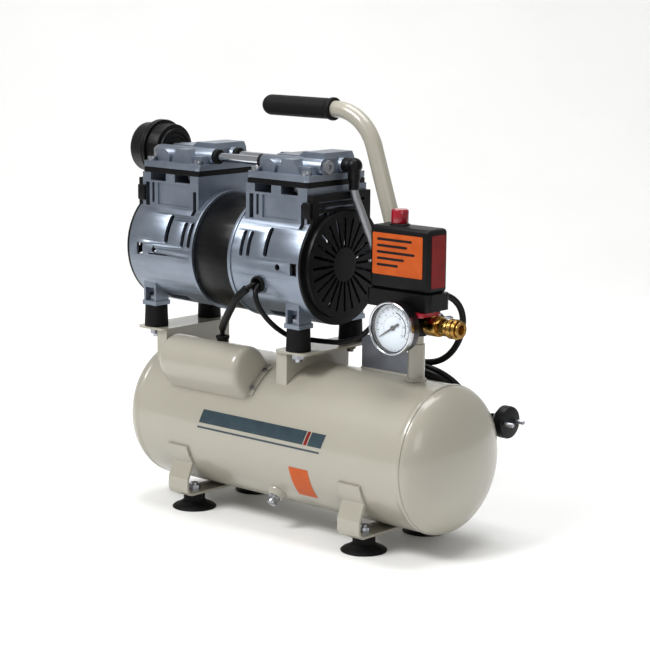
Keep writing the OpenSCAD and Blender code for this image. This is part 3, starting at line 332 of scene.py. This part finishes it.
# Grip: a foam-rubber sleeve with a lip where the tube comes out, fine rings along it and a domed end.
foam = surface("grip_foam", "#040404", "#09090a", 0.6, patch=6.7, grain=0.77, depth=0.22, shine=0.2)
grip_lo, grip_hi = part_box("handle_grip")
grip_r, grip_all = 0.01125, grip_hi[0] - grip_lo[0]
sleeve = [(0, 0), (0, 0.0118), (0.0008, 0.0124), (0.004, 0.0124), (0.005, 0.0119), (0.006, grip_r)]
for k in range(20):
    a = 0.008 + k * (grip_all - 0.022) / 20
    sleeve += [(a, grip_r), (a + 0.0022, grip_r - 0.0001)]
sleeve += [(grip_all - grip_r + grip_r * math.sin(t), grip_r * math.cos(t)) for t in np.linspace(0, math.pi / 2, 14)]
grip_from = (grip_hi[0], mm(0, handle_y, 0)[1], grip_z / 1000)
put(lathe("grip_sleeve", sleeve, grip_from, (-1, 0, 0), 64), foam, ["handle_grip"], 45)

# ---- Rubber feet, mounts, grommets and seals ----
# Moulded black rubber, matt with a fine grain: suction feet, the pump's mounts, cable grommets and gaskets.
rubber = surface("black_rubber", "#040404", "#080809", 0.66, patch=12.5, grain=0.56, depth=0.08, shine=0.2)
dress("black_rubber", rubber, rubber_mounts=0.8, port_seals=0.5, cable_grommets=0.5)

# ---- Bolts, nuts, screws, valve and drain ----
# Zinc-plated steel: bright, faintly blue and a little worn, with edges broken by plating.
zinc = surface("zinc_steel", "#8f9299", "#b9bcc2", 0.3, metal=1.0, patch=8.3, grain=1.4, depth=0.03)
dress("zinc_steel", zinc, m8_fixings=0.4, head_bolts=0.4, safety_valve=0.4, port_plugs=0.4, drain_cock=0.3,
      drain_knob=0.3)

# ---- Capacitor cover ----
# A pressed D-shaped steel cover with crowned ends, on two curved flanges screwed to the tank and sprayed with it.
# It leans forward from the top of the tank.
cover_x = middle_of["capacitor_cover"][0]
cover_half, cover_w, cover_top, tilt = 0.060, 0.0258, tank_r + 0.0408, math.radians(40)
out_way = np.array((0, -math.sin(tilt), math.cos(tilt)))
across = np.array((0, math.cos(tilt), math.sin(tilt)))


def cover_section(x, shrink):
    """One section of the cover at x, drawn in by shrink: up one straight side, over a half circle and down the other
    side. A point a across and r out from the tank's axis is (x, axis) + a * across + r * out_way."""
    w, top = cover_w - shrink, cover_top - shrink * 1.2
    foot = math.sqrt(tank_r ** 2 - w ** 2)
    rise = foot + (top - w - foot) * np.arange(6) / 6
    t = np.linspace(0, np.pi, 29)
    a = np.concatenate((np.full(6, w), w * np.cos(t), np.full(6, -w)))
    r = np.concatenate((rise, top - w + w * np.sin(t), rise[::-1]))
    return np.array((x, tank_mid[1], tank_mid[2])) + np.outer(a, across) + np.outer(r, out_way)


crown = np.array([(0, 0.0115), (0.0002, 0.008), (0.0009, 0.0048), (0.0022, 0.0024), (0.0042, 0.0009), (0.007, 0)])
flat_x = np.linspace(-cover_half + 0.012, cover_half - 0.012, 14)
stations = np.concatenate((crown - (cover_half, 0), np.stack((flat_x, np.zeros(14)), axis=1),
                           (crown * (-1, 1) + (cover_half, 0))[::-1]))
cover = np.array([cover_section(cover_x + x, shrink) for x, shrink in stations])
rim = np.arange(cover.shape[1])
put(mesh_of("capacitor_housing", cover, quads(len(cover), len(rim)), [rim[::-1], rim + (len(cover) - 1) * len(rim)]),
    enamel, ["capacitor_cover"], 40)

# Flange: a bent bar whose four edges run 15 degrees each way round the tank, at (x, -r sin t, r cos t) from its axis.
way = (tilt + np.radians(np.linspace(-15, 15, 13)))[:, None]
for side, sign in (("left", -1), ("right", 1)):
    edge_x = cover_x + sign * (cover_half + np.array((-0.002, -0.002, 0.0058, 0.0058)))
    edge_r = tank_r + np.array((0.0001, 0.0024, 0.0024, 0.0001))
    bar = (edge_x, tank_mid[1] - edge_r * np.sin(way), tank_mid[2] + edge_r * np.cos(way))
    flange = mesh_of(f"cover_flange_{side}", np.stack(np.broadcast_arrays(*bar), axis=-1), quads(13, 4),
                     [(3, 2, 1, 0), (48, 49, 50, 51)])
    soften(put(flange, enamel), 0.0005)

# ---- Pump castings ----
# The crankcases with their barrels and towers, and the heads, are die-cast aluminium, lightly blasted: a cool grey
# with soft edges. They are bolted together.
cast = surface("cast_aluminium", "#7c8592", "#8c95a2", 0.38, metal=0.85, patch=33, grain=0.67, depth=0.1, spread=0.04)
dress("cast_aluminium", cast, crankcase_left=1.2, crankcase_right=1.2, cylinder_heads=1.6)

# ---- Motor drum, valve plates and gauge case ----
# Rolled or pressed steel in satin black paint.
black_paint = surface("black_paint", "#030304", "#060608", 0.34, patch=20, grain=1.4, depth=0.06, shine=0.2)
dress("black_paint", black_paint, motor_drum=0.3, valve_plates=0.5, gauge_case=0.6)

# ---- Inside the motor and pump ----
# Stacked steel laminations, enamelled copper windings, a ground steel shaft with its bearings and cylinder sleeves,
# and machined alloy pistons. The patterns run along the motor.
stack = surface("lamination_steel", "#26272a", "#46474c", 0.5, metal=0.7, patch=33, depth=0.1, stretch=(14, 0.4, 0.4))
copper = surface("copper_winding", "#6a2c16", "#b3602f", 0.3, metal=0.9, grain=1.4, depth=0.3, stretch=(3, 1, 1))
steel = surface("machined_steel", "#9a9da3", "#c4c6cb", 0.24, metal=1.0, patch=12.5, depth=0.02, stretch=(4, 1, 1))
alloy = surface("piston_alloy", "#a39d8e", "#c9c4b6", 0.36, metal=0.9, patch=14, grain=0.83, depth=0.06)
dress("lamination_steel", stack)
dress("copper_winding", copper)
dress("machined_steel", steel)
dress("piston_alloy", alloy)

# ---- Fan covers, silencer, hose elbow and switch base ----
# Moulded black plastic with a fine spark-eroded grain. The fan covers clip on with a square tab over the front edge
# of each tower.
plastic = surface("black_plastic", "#050506", "#09090b", 0.42, patch=22, grain=0.62, depth=0.06, shine=0.2)
dress("black_plastic", plastic, fan_covers=0.5, silencer_body=0.8, silencer_cap=0.8, hose_elbow=0.5, switch_base=0.8)


def block(name, low, high, radius, steps):
    """A box with rounded edges: centre + s * (half - radius) + radius * n. The direction n goes round and up a sphere
    an eighth at a time, and s holds the signs of that eighth, so each flat side is one step between two eighths."""
    low, high = np.array(low), np.array(high)
    turn = np.linspace(0, np.pi / 2, steps + 1)
    around = (turn + np.arange(4)[:, None] * np.pi / 2).ravel()[None, :, None]
    around_mid = np.repeat(np.arange(4) * np.pi / 2 + np.pi / 4, steps + 1)[None, :, None]
    height = np.concatenate((turn - np.pi / 2, turn))[:, None, None]
    rises = np.repeat((-1.0, 1.0), steps + 1)[:, None, None]
    n = np.concatenate(np.broadcast_arrays(np.cos(height) * np.cos(around), np.cos(height) * np.sin(around),
                                           np.sin(height)), axis=2)
    s = np.concatenate(np.broadcast_arrays(np.sign(np.cos(around_mid)), np.sign(np.sin(around_mid)), rises), axis=2)
    points = (low + high) / 2 + s * ((high - low) / 2 - radius) + radius * n
    rings, count = points.shape[:2]
    rim = np.arange(count)
    mesh = mesh_of(name, points, quads(rings, count), [rim[::-1], rim + (rings - 1) * count])
    seal(mesh)
    return mesh


for side, x in (("left", -209.5), ("right", 39.5)):
    tab = block(f"cover_tab_{side}", mm(x - 5.5, -49.6, 338), mm(x + 5.5, -45.5, 355), 0.0012, 3)
    put(tab, plastic, (), 50)

# ---- Crossover tubes ----
# Bright drawn steel tube between the two heads, its pattern drawn out along the tube.
bright = surface("bright_tube", "#b4b7bd", "#d2d5da", 0.16, metal=1.0, patch=17, grain=2, depth=0.01,
                 stretch=(0.05, 1, 1))
dress("bright_tube", bright)

# ---- Taps, valves and coupler ----
# Turned brass, and the blackened casting of the manifold that they screw into. The tap's lever and the switch's knob
# are gloss red plastic.
brass = surface("brass", "#8f6c33", "#c29a55", 0.27, metal=1.0, patch=11, grain=1.25, depth=0.03)
dark_iron = surface("dark_casting", "#070709", "#0e0f12", 0.5, metal=0.4, patch=14, grain=0.83, depth=0.12)
red = surface("red_plastic", "#8c0c1c", "#a0122a", 0.24, patch=20, grain=1.4, depth=0.02, coat=0.3)
dress("brass", brass, outlet_tap=0.4, check_valve=0.5, coupler_body=0.4, coupler_sleeve=0.4)
dress("dark_casting", dark_iron, manifold=0.6)
dress("red_plastic", red, switch_knob=0.8, tap_lever=0.5)

# Two sets of 12 strands wind round it, one each way, and move on by 0.52 of a strand for each millimetre along it.
strand_count, strand_shift = 12.0, 520.0
braid = surface("steel_braid", "#4c4e53", "#a7abb2", 0.34, metal=0.9, patch=5, grain=0.67, depth=0.03)
hose_uv = add(braid, "SeparateXYZ", Vector=add(braid, "UVMap").outputs["UV"]).outputs
round_it = add(braid, "Math", operation="MULTIPLY", i0=hose_uv["X"], i1=strand_count).outputs[0]
strands = []
for way_round in (1, -1):
    rising = add(braid, "Math", operation="MULTIPLY", i0=hose_uv["Y"], i1=way_round * strand_shift).outputs[0]
    phase = add(braid, "Math", operation="ADD", i0=round_it, i1=rising).outputs[0]
    strands.append(add(braid, "Math", operation="PINGPONG", i0=phase, i1=0.5).outputs[0])
weave = add(braid, "Math", operation="MAXIMUM", i0=strands[0], i1=strands[1]).outputs[0]
# Painted shade: each strand is light along its middle and dark towards its edges and the gaps between strands.
strand_painted_shade = add(braid, "ValToRGB", Fac=weave, stops=[(0.12, "#4a4c51"), (0.5, "#d2d5da")]).outputs["Color"]
wire_bump = add(braid, "Bump", Height=weave, Distance=0.0006, Strength=0.8).outputs["Normal"]
braid.node_tree.links.new(strand_painted_shade, braid.node_tree.nodes["paint"].inputs["Base Color"])
braid.node_tree.links.new(wire_bump, braid.node_tree.nodes["paint"].inputs["Normal"])
dress("steel_braid", braid)


def smooth_route(points, step):
    """A Catmull-Rom curve through points, cut into stretches about step metres long. Between b and c, with a before
    and d after, it is (2b + (c - a)t + (2a - 5b + 4c - d)t^2 + (3b - 3c + d - a)t^3) / 2 for t from 0 to 1."""
    p = np.array(points)
    p = np.concatenate((2 * p[:1] - p[1:2], p, 2 * p[-1:] - p[-2:-1]))
    route = []
    for a, b, c, d in zip(p, p[1:], p[2:], p[3:]):
        cuts = max(2, round(np.linalg.norm(c - b) / step))
        t = (np.arange(cuts) / cuts)[:, None]
        route.append((2 * b + (c - a) * t + (2 * a - 5 * b + 4 * c - d) * t ** 2
                      + (3 * b - 3 * c + d - a) * t ** 3) / 2)
    return np.concatenate((*route, p[-2:-1]))


hose_route = [mm(50.5, 14, 369), mm(50.6, 14, 364), mm(52.5, 15, 356), mm(57.5, 17, 343), mm(64, 18, 328),
              mm(71, 19, 313), mm(78, 20, 296), mm(83, 22, 276), mm(84, 26, 256), mm(82, 31, 238), mm(80, 34, 224),
              mm(80, 36, 214), mm(80, 36, 205)]
put(sweep("hose_braid", smooth_route(hose_route, 0.0025), 0.0045, 32), braid, ["braided_hose"], 60)
crimp = [(0, 0.0046), (0, 0.0054), (0.0006, 0.0060), (0.003, 0.0060), (0.0036, 0.0055), (0.0046, 0.0055),
         (0.0052, 0.0060), (0.0085, 0.0060), (0.0091, 0.0055), (0.0101, 0.0055), (0.0107, 0.0060), (0.0135, 0.0060),
         (0.014, 0.0055), (0.014, 0.0046), (0, 0.0046)]
put(lathe("hose_crimp", crimp, mm(80, 36, 220), (0, 0, -1), 40), zinc, (), 30)

# ---- Motor cables ----
# Two flexible PVC cables from the pump's grommet, one to the capacitor under its cover and one over the tank to the
# switch. The first has a protecting sleeve where it hangs free.
pvc = surface("cable_pvc", "#040405", "#080809", 0.44, patch=14, depth=0.04, shine=0.2)
dress("cable_pvc", pvc)
cable_r, sleeve_r = 0.0028, 0.0043
to_capacitor = [mm(-17, -59, 265.5), mm(-17, -66, 265.5), mm(-22, -74, 261), mm(-34, -77, 249), mm(-50, -72, 232),
                mm(-64, -64, 219), mm(-75, -56, 210), mm(-78, -53.2, 202), mm(-78, -53, 193)]
to_switch = [mm(-11, -59, 265.5), mm(-11, -66, 265), mm(-9, -74, 258), mm(-4, -74, 244), mm(0, -64, 229),
             mm(2, -48, 216), mm(6, -32, 207), mm(16, -16, 203.5), mm(32, -10, 203), mm(55, -9, 205),
             mm(78, -8, 213), mm(95, -7, 227), mm(104, -6, 242), mm(107, -6, 254)]
for name, route, radius, stands_for in (("cable_to_capacitor", to_capacitor, cable_r, ["motor_cables"]),
                                        ("cable_sleeve", to_capacitor[2:7], sleeve_r, ()),
                                        ("cable_to_switch", to_switch, cable_r, ())):
    put(sweep(name, smooth_route(route, 0.003), radius, 20), pvc, stands_for, 60)

# ---- Pressure switch ----
# A moulded black cover with soft edges over the switch, a collar round its knob, and two plain printed labels with
# bars in place of print. The labels are stuck on.
ink = surface("needle_black", "#0b0b0d", "#141417", 0.5, patch=17, depth=0.01, shine=0.2)
orange = surface("orange_label", "#b04a12", "#c0561a", 0.4, patch=17, grain=0.83, depth=0.02, shine=0.25)
dark_red = surface("red_label", "#6a0d0a", "#7c120e", 0.4, patch=17, grain=0.83, depth=0.02, shine=0.25)
dress("needle_black", ink)
switch_lo, switch_hi = (np.array(corner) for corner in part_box("switch_cover"))
box_top = switch_hi[2] - 0.002
housing = block("switch_housing", switch_lo, (switch_hi[0], switch_hi[1], box_top), 0.0045, 6)
put(housing, plastic, ["switch_cover"], 50)
collar = [(0, 0.0063), (0, 0.0108), (0.0012, 0.0105), (0.0018, 0.0098), (0.0018, 0.0063), (0, 0.0063)]
collar_at = (middle_of["switch_knob"][0], middle_of["switch_knob"][1], box_top - 0.0002)
put(lathe("switch_collar", collar, collar_at, (0, 0, 1), 48), plastic, (), 30)


def label(name, centre, u, v, width, height, finish):
    """A thin printed label: a rectangle of width along u and height along v with quarter circles at its corners, at
    cx * (half width - r) + r * cos a and cy * (half height - r) + r * sin a, carried 0.2 mm out along u x v."""
    r = 0.0012
    cx = np.repeat((1, -1, -1, 1), 6)
    cy = np.repeat((1, 1, -1, -1), 6)
    a = np.radians(np.add.outer(np.arange(4) * 90, np.arange(6) * 18).ravel())
    edge = np.outer(cx * (width / 2 - r) + r * np.cos(a), u) + np.outer(cy * (height / 2 - r) + r * np.sin(a), v)
    out = np.cross(u, v) * 0.0002
    rim = np.arange(len(edge))
    mesh = mesh_of(name, [centre + edge, centre + edge + out], quads(2, len(rim)), [rim[::-1], rim + len(rim)])
    put(mesh, finish, (), 30)


def on_switch(x, lift, z):
    """A place on the front of the switch: x and z from its lower left corner, lift out of its face, in metres."""
    return switch_lo + np.array((x, -lift, z))


label("label_front", on_switch(0.0375, 0.0001, 0.037), (1, 0, 0), (0, 0, 1), 0.066, 0.043, orange)
for k, wide in enumerate((0.046, 0.040, 0.050, 0.036, 0.028)):
    label(f"label_line_{k + 1}", on_switch(0.0105 + wide / 2, 0.0003, 0.052 - k * 0.0066), (1, 0, 0), (0, 0, 1), wide,
          0.0026, ink)
side_at = (switch_hi[0] + 0.0001, (switch_lo[1] + switch_hi[1]) / 2, switch_lo[2] + 0.033)
label("label_side", np.array(side_at), (0, 1, 0), (0, 0, 1), 0.022, 0.054, dark_red)

# ---- Gauge ----
# A printed white dial with two scales, an arc and plain numbers, under a clear window held by a rolled bright bezel.
# Marks and numbers are ink, 0.1 mm above the dial.
dial_white = surface("dial_white", "#d6e2ec", "#e2ebf3", 0.45, patch=33, grain=0.67, depth=0.01)
dress("dial_white", dial_white)
lens = bpy.data.materials.new("clear_lens")
lens.use_nodes = True
lens.node_tree.nodes.clear()
smears = add(lens, "TexNoise", Vector=add(lens, "TexCoord").outputs["Object"], Scale=60.0, Detail=4, Roughness=0.5)
haze = add(lens, "ValToRGB", Fac=smears.outputs["Fac"], stops=[(0.3, 0.02), (0.7, 0.06)])
pane = add(lens, "BsdfPrincipled", Base_Color=(1, 1, 1, 1), Roughness=haze.outputs["Color"], Alpha=0.07)
add(lens, "OutputMaterial", Surface=pane.outputs["BSDF"])
dress("clear_lens", lens)

dial_mid = np.array((middle_of["gauge_case"][0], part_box("gauge_dial")[0][1], middle_of["gauge_case"][2]))
scale_start, scale_step, number_step = -122, 4, 40.6


def on_dial(angle, radius, lift):
    """Places on the dial: (sin a, cos a) * radius across and up, with a in degrees clockwise from straight up."""
    a = np.radians(angle)
    return dial_mid + np.stack(np.broadcast_arrays(np.sin(a) * radius, -lift, np.cos(a) * radius), axis=-1)


def scale_marks(angle, inner, outer, width):
    """Scale marks as four corners each: the places at the inner and outer radius, half a width to either side along
    (cos a, -sin a)."""
    a = np.radians(angle)
    side = np.stack((np.cos(a), 0 * a, -np.sin(a)), axis=1) * (width / 2)[:, None]
    near, far = on_dial(angle, inner, 0.00012), on_dial(angle, outer, 0.00012)
    return np.stack((near - side, near + side, far + side, far - side), axis=1)


outer_k, inner_k = np.arange(61), np.arange(31)
whole = outer_k % 5 == 0
marks = np.concatenate((
    scale_marks(scale_start + outer_k * scale_step, np.where(whole, 0.0185, 0.0205), 0.0222,
                np.where(whole, 0.0006, 0.0003)),
    scale_marks(scale_start + inner_k * 2 * scale_step, 0.0118, 0.0132, np.full(31, 0.0003))))
put(mesh_of("dial_scale", marks, np.arange(marks.size // 3).reshape(-1, 4)), ink, (), 0, True)
arc = on_dial(np.linspace(12, 118, 40)[:, None], np.array((0.0170, 0.0158)), 0.00014)
put(mesh_of("dial_arc", arc, quads(40, 2, closed=False)), ink, (), 0, True)
for k in range(7):
    text = bpy.data.curves.new(f"number_{k}", "FONT")
    text.body = str(k * 2)
    text.size = 0.0036
    text.align_x = text.align_y = "CENTER"
    holder = bpy.data.objects.new("number", text)
    number = bpy.data.meshes.new_from_object(holder)
    bpy.data.objects.remove(holder)
    bpy.data.curves.remove(text)
    number_at = Vector(on_dial(scale_start + k * number_step, 0.0152 if k < 4 else 0.0138, 0.00016))
    number.transform(Matrix.Translation(number_at) @ Matrix.Rotation(math.radians(90), 4, "X"))
    number.name = f"dial_number_{k}"
    put(number, ink, (), 0, True)

bezel = [(-0.0052, 0.0276), (-0.0004, 0.0277), (0.0006, 0.0275), (0.0012, 0.0270), (0.0014, 0.0263),
         (0.0011, 0.0256), (0.0003, 0.0251), (-0.0010, 0.0248), (-0.0024, 0.0247), (-0.0052, 0.0276)]
case_front = (dial_mid[0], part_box("gauge_case")[0][1], dial_mid[2])
put(lathe("gauge_bezel", bezel, case_front, (0, -1, 0), 96), bright, (), 0)

# ---- Mains lead ----
# 7 mm flexible PVC lead out of the switch's back, down behind the tank, into a tied coil of five and a half turns
# in two layers, and on to its plug. Each layer of the coil is (radius, depth along the coil's axis).
cord_d = 0.007
entry = [mm(150, 38, 261), mm(150.5, 44, 260.7), mm(152, 52, 258), mm(154.5, 60, 252.5), mm(156.5, 65.5, 244),
         mm(157.5, 68, 233.5), mm(156.5, 68.5, 222), mm(153, 68.5, 211), mm(147, 69, 201), mm(139, 70, 192.5),
         mm(129, 71.5, 185.5), mm(117, 72.6, 180.3)]
tail = [mm(116, 112, 108.8), mm(130, 110.5, 110), mm(143, 107, 113), mm(155, 102, 117), mm(166, 97.5, 121),
        mm(177, 94, 124)]
coil_turns, coil_lean = 5.5, math.radians(66)
coil_mid = middle_of["cord_coil"]
coil_axis = np.array((0, math.sin(coil_lean), math.cos(coil_lean)))
coil_top = np.array((0, -math.cos(coil_lean), math.sin(coil_lean)))
coil_left = np.array((-1, 0, 0))
wide_r, narrow_r, layer_step = 0.0435, 0.0365, 0.0075
layers = np.array([(wide_r, layer_step), (wide_r, 0), (wide_r, -layer_step), (narrow_r, -layer_step), (narrow_r, 0),
                   (narrow_r, layer_step), (narrow_r, 2 * layer_step)])


def coil_points(turn):
    """Points on the coil: middle + r * (cos a * top + sin a * left) + depth * axis, with a the turn's angle. Radius
    and depth hold for three quarters of a turn and pass to the next layer's over its end, along s^2 (3 - 2s). The
    last stretch passes over half a turn."""
    k = np.minimum(turn.astype(int), len(layers) - 2)
    part = turn - k
    s = np.clip(np.where(k < len(layers) - 2, (part - 0.75) / 0.25, part / 0.5), 0, 1)
    s = (s * s * (3 - 2 * s))[:, None]
    radius, depth = (layers[k] + (layers[k + 1] - layers[k]) * s).T[:, :, None]
    a = 2 * np.pi * turn
    return coil_mid + radius * (np.outer(np.cos(a), coil_top) + np.outer(np.sin(a), coil_left)) + depth * coil_axis


def spread_bends(route, passes):
    """Spreads a route's bends: each pass moves every inner point to (one before + 2 itself + one after) / 4."""
    route = route.copy()
    for _ in range(passes):
        route[1:-1] = (route[:-2] + 2 * route[1:-1] + route[2:]) / 4
    return route


wound = coil_points(np.linspace(0, coil_turns, int(coil_turns * 48) + 1))
lead_path = np.concatenate((spread_bends(smooth_route([*entry, wound[0]], 0.003), 10)[:-1], wound[:-1],
                            smooth_route([wound[-1], *tail], 0.003)))
lead = put(sweep("mains_lead", lead_path, cord_d / 2, 16), pvc, ["power_cord", "cord_coil"], 0)

# Plug: a round moulded body with a ribbed neck and a flange, and two pins.
plug_at = np.array((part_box("power_plug")[0][0], middle_of["power_plug"][1], middle_of["power_plug"][2]))
plug_side = [(0, 0), (0, 0.0042), (0.001, 0.0062)]
for k in range(3):
    plug_side += [(0.0018 + k * 0.002, 0.0066), (0.0024 + k * 0.002, 0.0053), (0.0032 + k * 0.002, 0.0053)]
plug_side += [(0.0085, 0.0086), (0.011, 0.0112), (0.0145, 0.0146), (0.0165, 0.0166), (0.0172, 0.0174),
              (0.025, 0.0174), (0.0266, 0.0168), (0.027, 0.0156), (0.027, 0)]
plug = put(lathe("plug_body", plug_side, plug_at, (1, 0, 0), 64), plastic, ["power_plug"], 30)
pin = [(0.026, 0), (0.026, 0.0024), (0.037, 0.0024), (0.038, 0.0016), (0.038, 0)]
pins = [put(lathe(f"plug_pin_{k + 1}", pin, plug_at + (0, y, 0), (1, 0, 0), 24), zinc)
        for k, y in enumerate((-0.0095, 0.0095))]

# Strain relief: a tapered, ribbed rubber boot, pushed into the switch's back.
gland_lo, gland_hi = (np.array(corner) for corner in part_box("cord_gland"))
boot_len = gland_hi[1] - gland_lo[1]
boot = [(0, 0.0036), (0, 0.005), (boot_len - 0.0215, 0.005), (boot_len - 0.0215, 0.0075),
        (boot_len - 0.0175, 0.0075), (boot_len - 0.017, 0.0062)]
for k in range(5):
    a, r = boot_len - 0.0155 + k * 0.003, 0.0059 - k * 0.0003
    boot += [(a, r), (a + 0.0004, r - 0.0009), (a + 0.0016, r - 0.0009), (a + 0.002, r - 0.0002)]
boot += [(boot_len - 0.0003, 0.0044), (boot_len, 0.0041), (boot_len, 0.0036), boot[0]]
boot_at = ((gland_lo[0] + gland_hi[0]) / 2, gland_lo[1], (gland_lo[2] + gland_hi[2]) / 2)
relief = put(lathe("strain_relief", boot, boot_at, (0, 1, 0), 40), rubber, ["cord_gland"], 30)

# Tie: a hook-and-loop strap round the coil's turns. Its section is (cos t, sin t), drawn out 1.25 times and clipped
# at 1, so that its sides lie flat.
tie_turn, tie_half = 0.5, 0.006
t = np.arange(28) * 2 * np.pi / 28
square = np.clip(1.25 * np.stack((np.cos(t), np.sin(t))), -1, 1)
outwards = coil_top * math.cos(tie_turn) + coil_left * math.sin(tie_turn)
tie_side = -coil_left * math.cos(tie_turn) + coil_top * math.sin(tie_turn)
loop = coil_mid + np.outer(0.040 + 0.0079 * square[0], outwards) + np.outer(0.0118 * square[1], coil_axis)
tie = put(mesh_of("cord_tie", [loop - tie_side * tie_half, loop + tie_side * tie_half], quads(2, 28)),
          rubber)
thickness = tie.modifiers.new("thickness", "SOLIDIFY")
thickness.thickness = 0.0006

# ---- Print on the tank ----
# Plain slanted stripes, printed on the front of the shell, and a plain sticker below them. They are thin open sheets
# that face outwards.
grey_print = surface("grey_print", "#26353d", "#2e3f48", 0.35, patch=17, depth=0.01, coat=0.4, shine=0.25)


def band(name, x0, x1, low, high, finish, shear=0.0):
    """A printed patch on the tank: x runs from x0 to x1 and leans by shear over its height, in millimetres, and t from
    low to high degrees above the axis, at (x, -r cos t, r sin t) from the axis with r just above the shell."""
    up = np.linspace(0, 1, 11)[:, None]
    t = np.radians(low + (high - low) * up)
    x = tank_mid[0] + (x0 + (x1 - x0) * np.linspace(0, 1, 41) + shear * up) / 1000
    r = tank_r + 0.00025
    points = np.broadcast_arrays(x, tank_mid[1] - r * np.cos(t), tank_mid[2] + r * np.sin(t))
    put(mesh_of(name, np.stack(points, axis=-1), quads(11, 41, closed=False)), finish, (), 0, True)


band("stripe_wide", -90, 62, 6, 17, grey_print, shear=5)
band("stripe_slash", 63.5, 67.5, 6, 17, dark_red, shear=5)
band("stripe_end", 69, 88, 6, 17, grey_print, shear=5)
band("stripe_thin", -92, 86, 1.5, 3, grey_print)
band("sticker", 41, 68, -42, -14, orange)

# ---- Camera ----
# From the front right and a little above, with a long lens.
azimuth, elevation, roll = math.radians(41.68), math.radians(10.18), math.radians(0.49)
back = Vector((math.sin(azimuth) * math.cos(elevation), -math.cos(azimuth) * math.cos(elevation),
               math.sin(elevation)))
level = Vector((math.cos(azimuth), math.sin(azimuth), 0))
right = level * math.cos(roll) + back.cross(level) * math.sin(roll)
camera = bpy.data.objects.new("camera", bpy.data.cameras.new("camera"))
camera.matrix_world = Matrix((right, back.cross(right), back)).transposed().to_4x4()
camera.location = Vector(mm(23.5, 0, 218.3)) + back * 2.1515
camera.data.lens = 111.25
camera.data.sensor_width = 36
camera.data.clip_end = 60
bpy.context.collection.objects.link(camera)
bpy.context.scene.camera = camera

# ---- Floor ----
# A pale paper sweep that lies flat under the machine and curves up behind it, as seen from the camera.
paper = surface("floor_paper", "#f2f2f1", "#f6f6f5", 0.7, patch=333, grain=1.7, depth=0.02, spread=0.03)
flat_from, flat_to, floor_half, curve_r = -1.15, 1.6, 1.3, 1.2
t = np.linspace(0.05, np.pi / 2, 20)
rise = np.concatenate(([(flat_from, 0), (flat_to, 0)],
                       np.stack((flat_to + curve_r * np.sin(t), curve_r - curve_r * np.cos(t)), axis=1),
                       [(flat_to + curve_r, 4.0)]))
away = np.array(Vector((-back.x, -back.y, 0)).normalized())
sideways = np.array((away[1], -away[0], 0))
floor_points = (rise[:, :1] * away + rise[:, 1:] * np.array((0, 0, 1)))[:, None] + np.outer((-floor_half, floor_half),
                                                                                         sideways)
floor_mesh = mesh_of("floor", floor_points, quads(len(rise), 2, closed=False))
floor_mesh.materials.append(paper)
floor_mesh.polygons.foreach_set("use_smooth", np.ones(len(floor_mesh.polygons), bool))
floor = bpy.data.objects.new("floor", floor_mesh)
bpy.context.collection.objects.link(floor)

# ---- Light ----
# Three soft boxes in a dim white room, which is plain white where the camera sees past the floor.
bpy.context.scene.view_settings.view_transform = "Standard"
world = bpy.data.worlds.new("studio")
bpy.context.scene.world = world
world.use_nodes = True
sky = world.node_tree.nodes["Background"]
sky.inputs["Color"].default_value = (1, 1, 1, 1)
seen = add(world, "LightPath").outputs["Is Camera Ray"]
strength = add(world, "MapRange", Value=seen, To_Min=0.4, To_Max=1.0)
world.node_tree.links.new(strength.outputs["Result"], sky.inputs["Strength"])


def softbox(name, place, width, height, power):
    """A large area light that looks at the middle of the machine."""
    light = bpy.data.lights.new(name, "AREA")
    light.shape = "RECTANGLE"
    light.size, light.size_y, light.energy = width, height, power
    lamp = bpy.data.objects.new(name, light)
    lamp.location = place
    lamp.rotation_euler = (Vector((0, 0, 0.2)) - Vector(place)).to_track_quat("-Z", "Y").to_euler()
    bpy.context.collection.objects.link(lamp)


softbox("key", (-0.6, -1.9, 2.4), 1.2, 0.9, 66)
softbox("fill", (2.4, -1.2, 1.2), 1.0, 1.0, 7)
softbox("top", (0, 0.4, 2.6), 1.8, 1.4, 50)
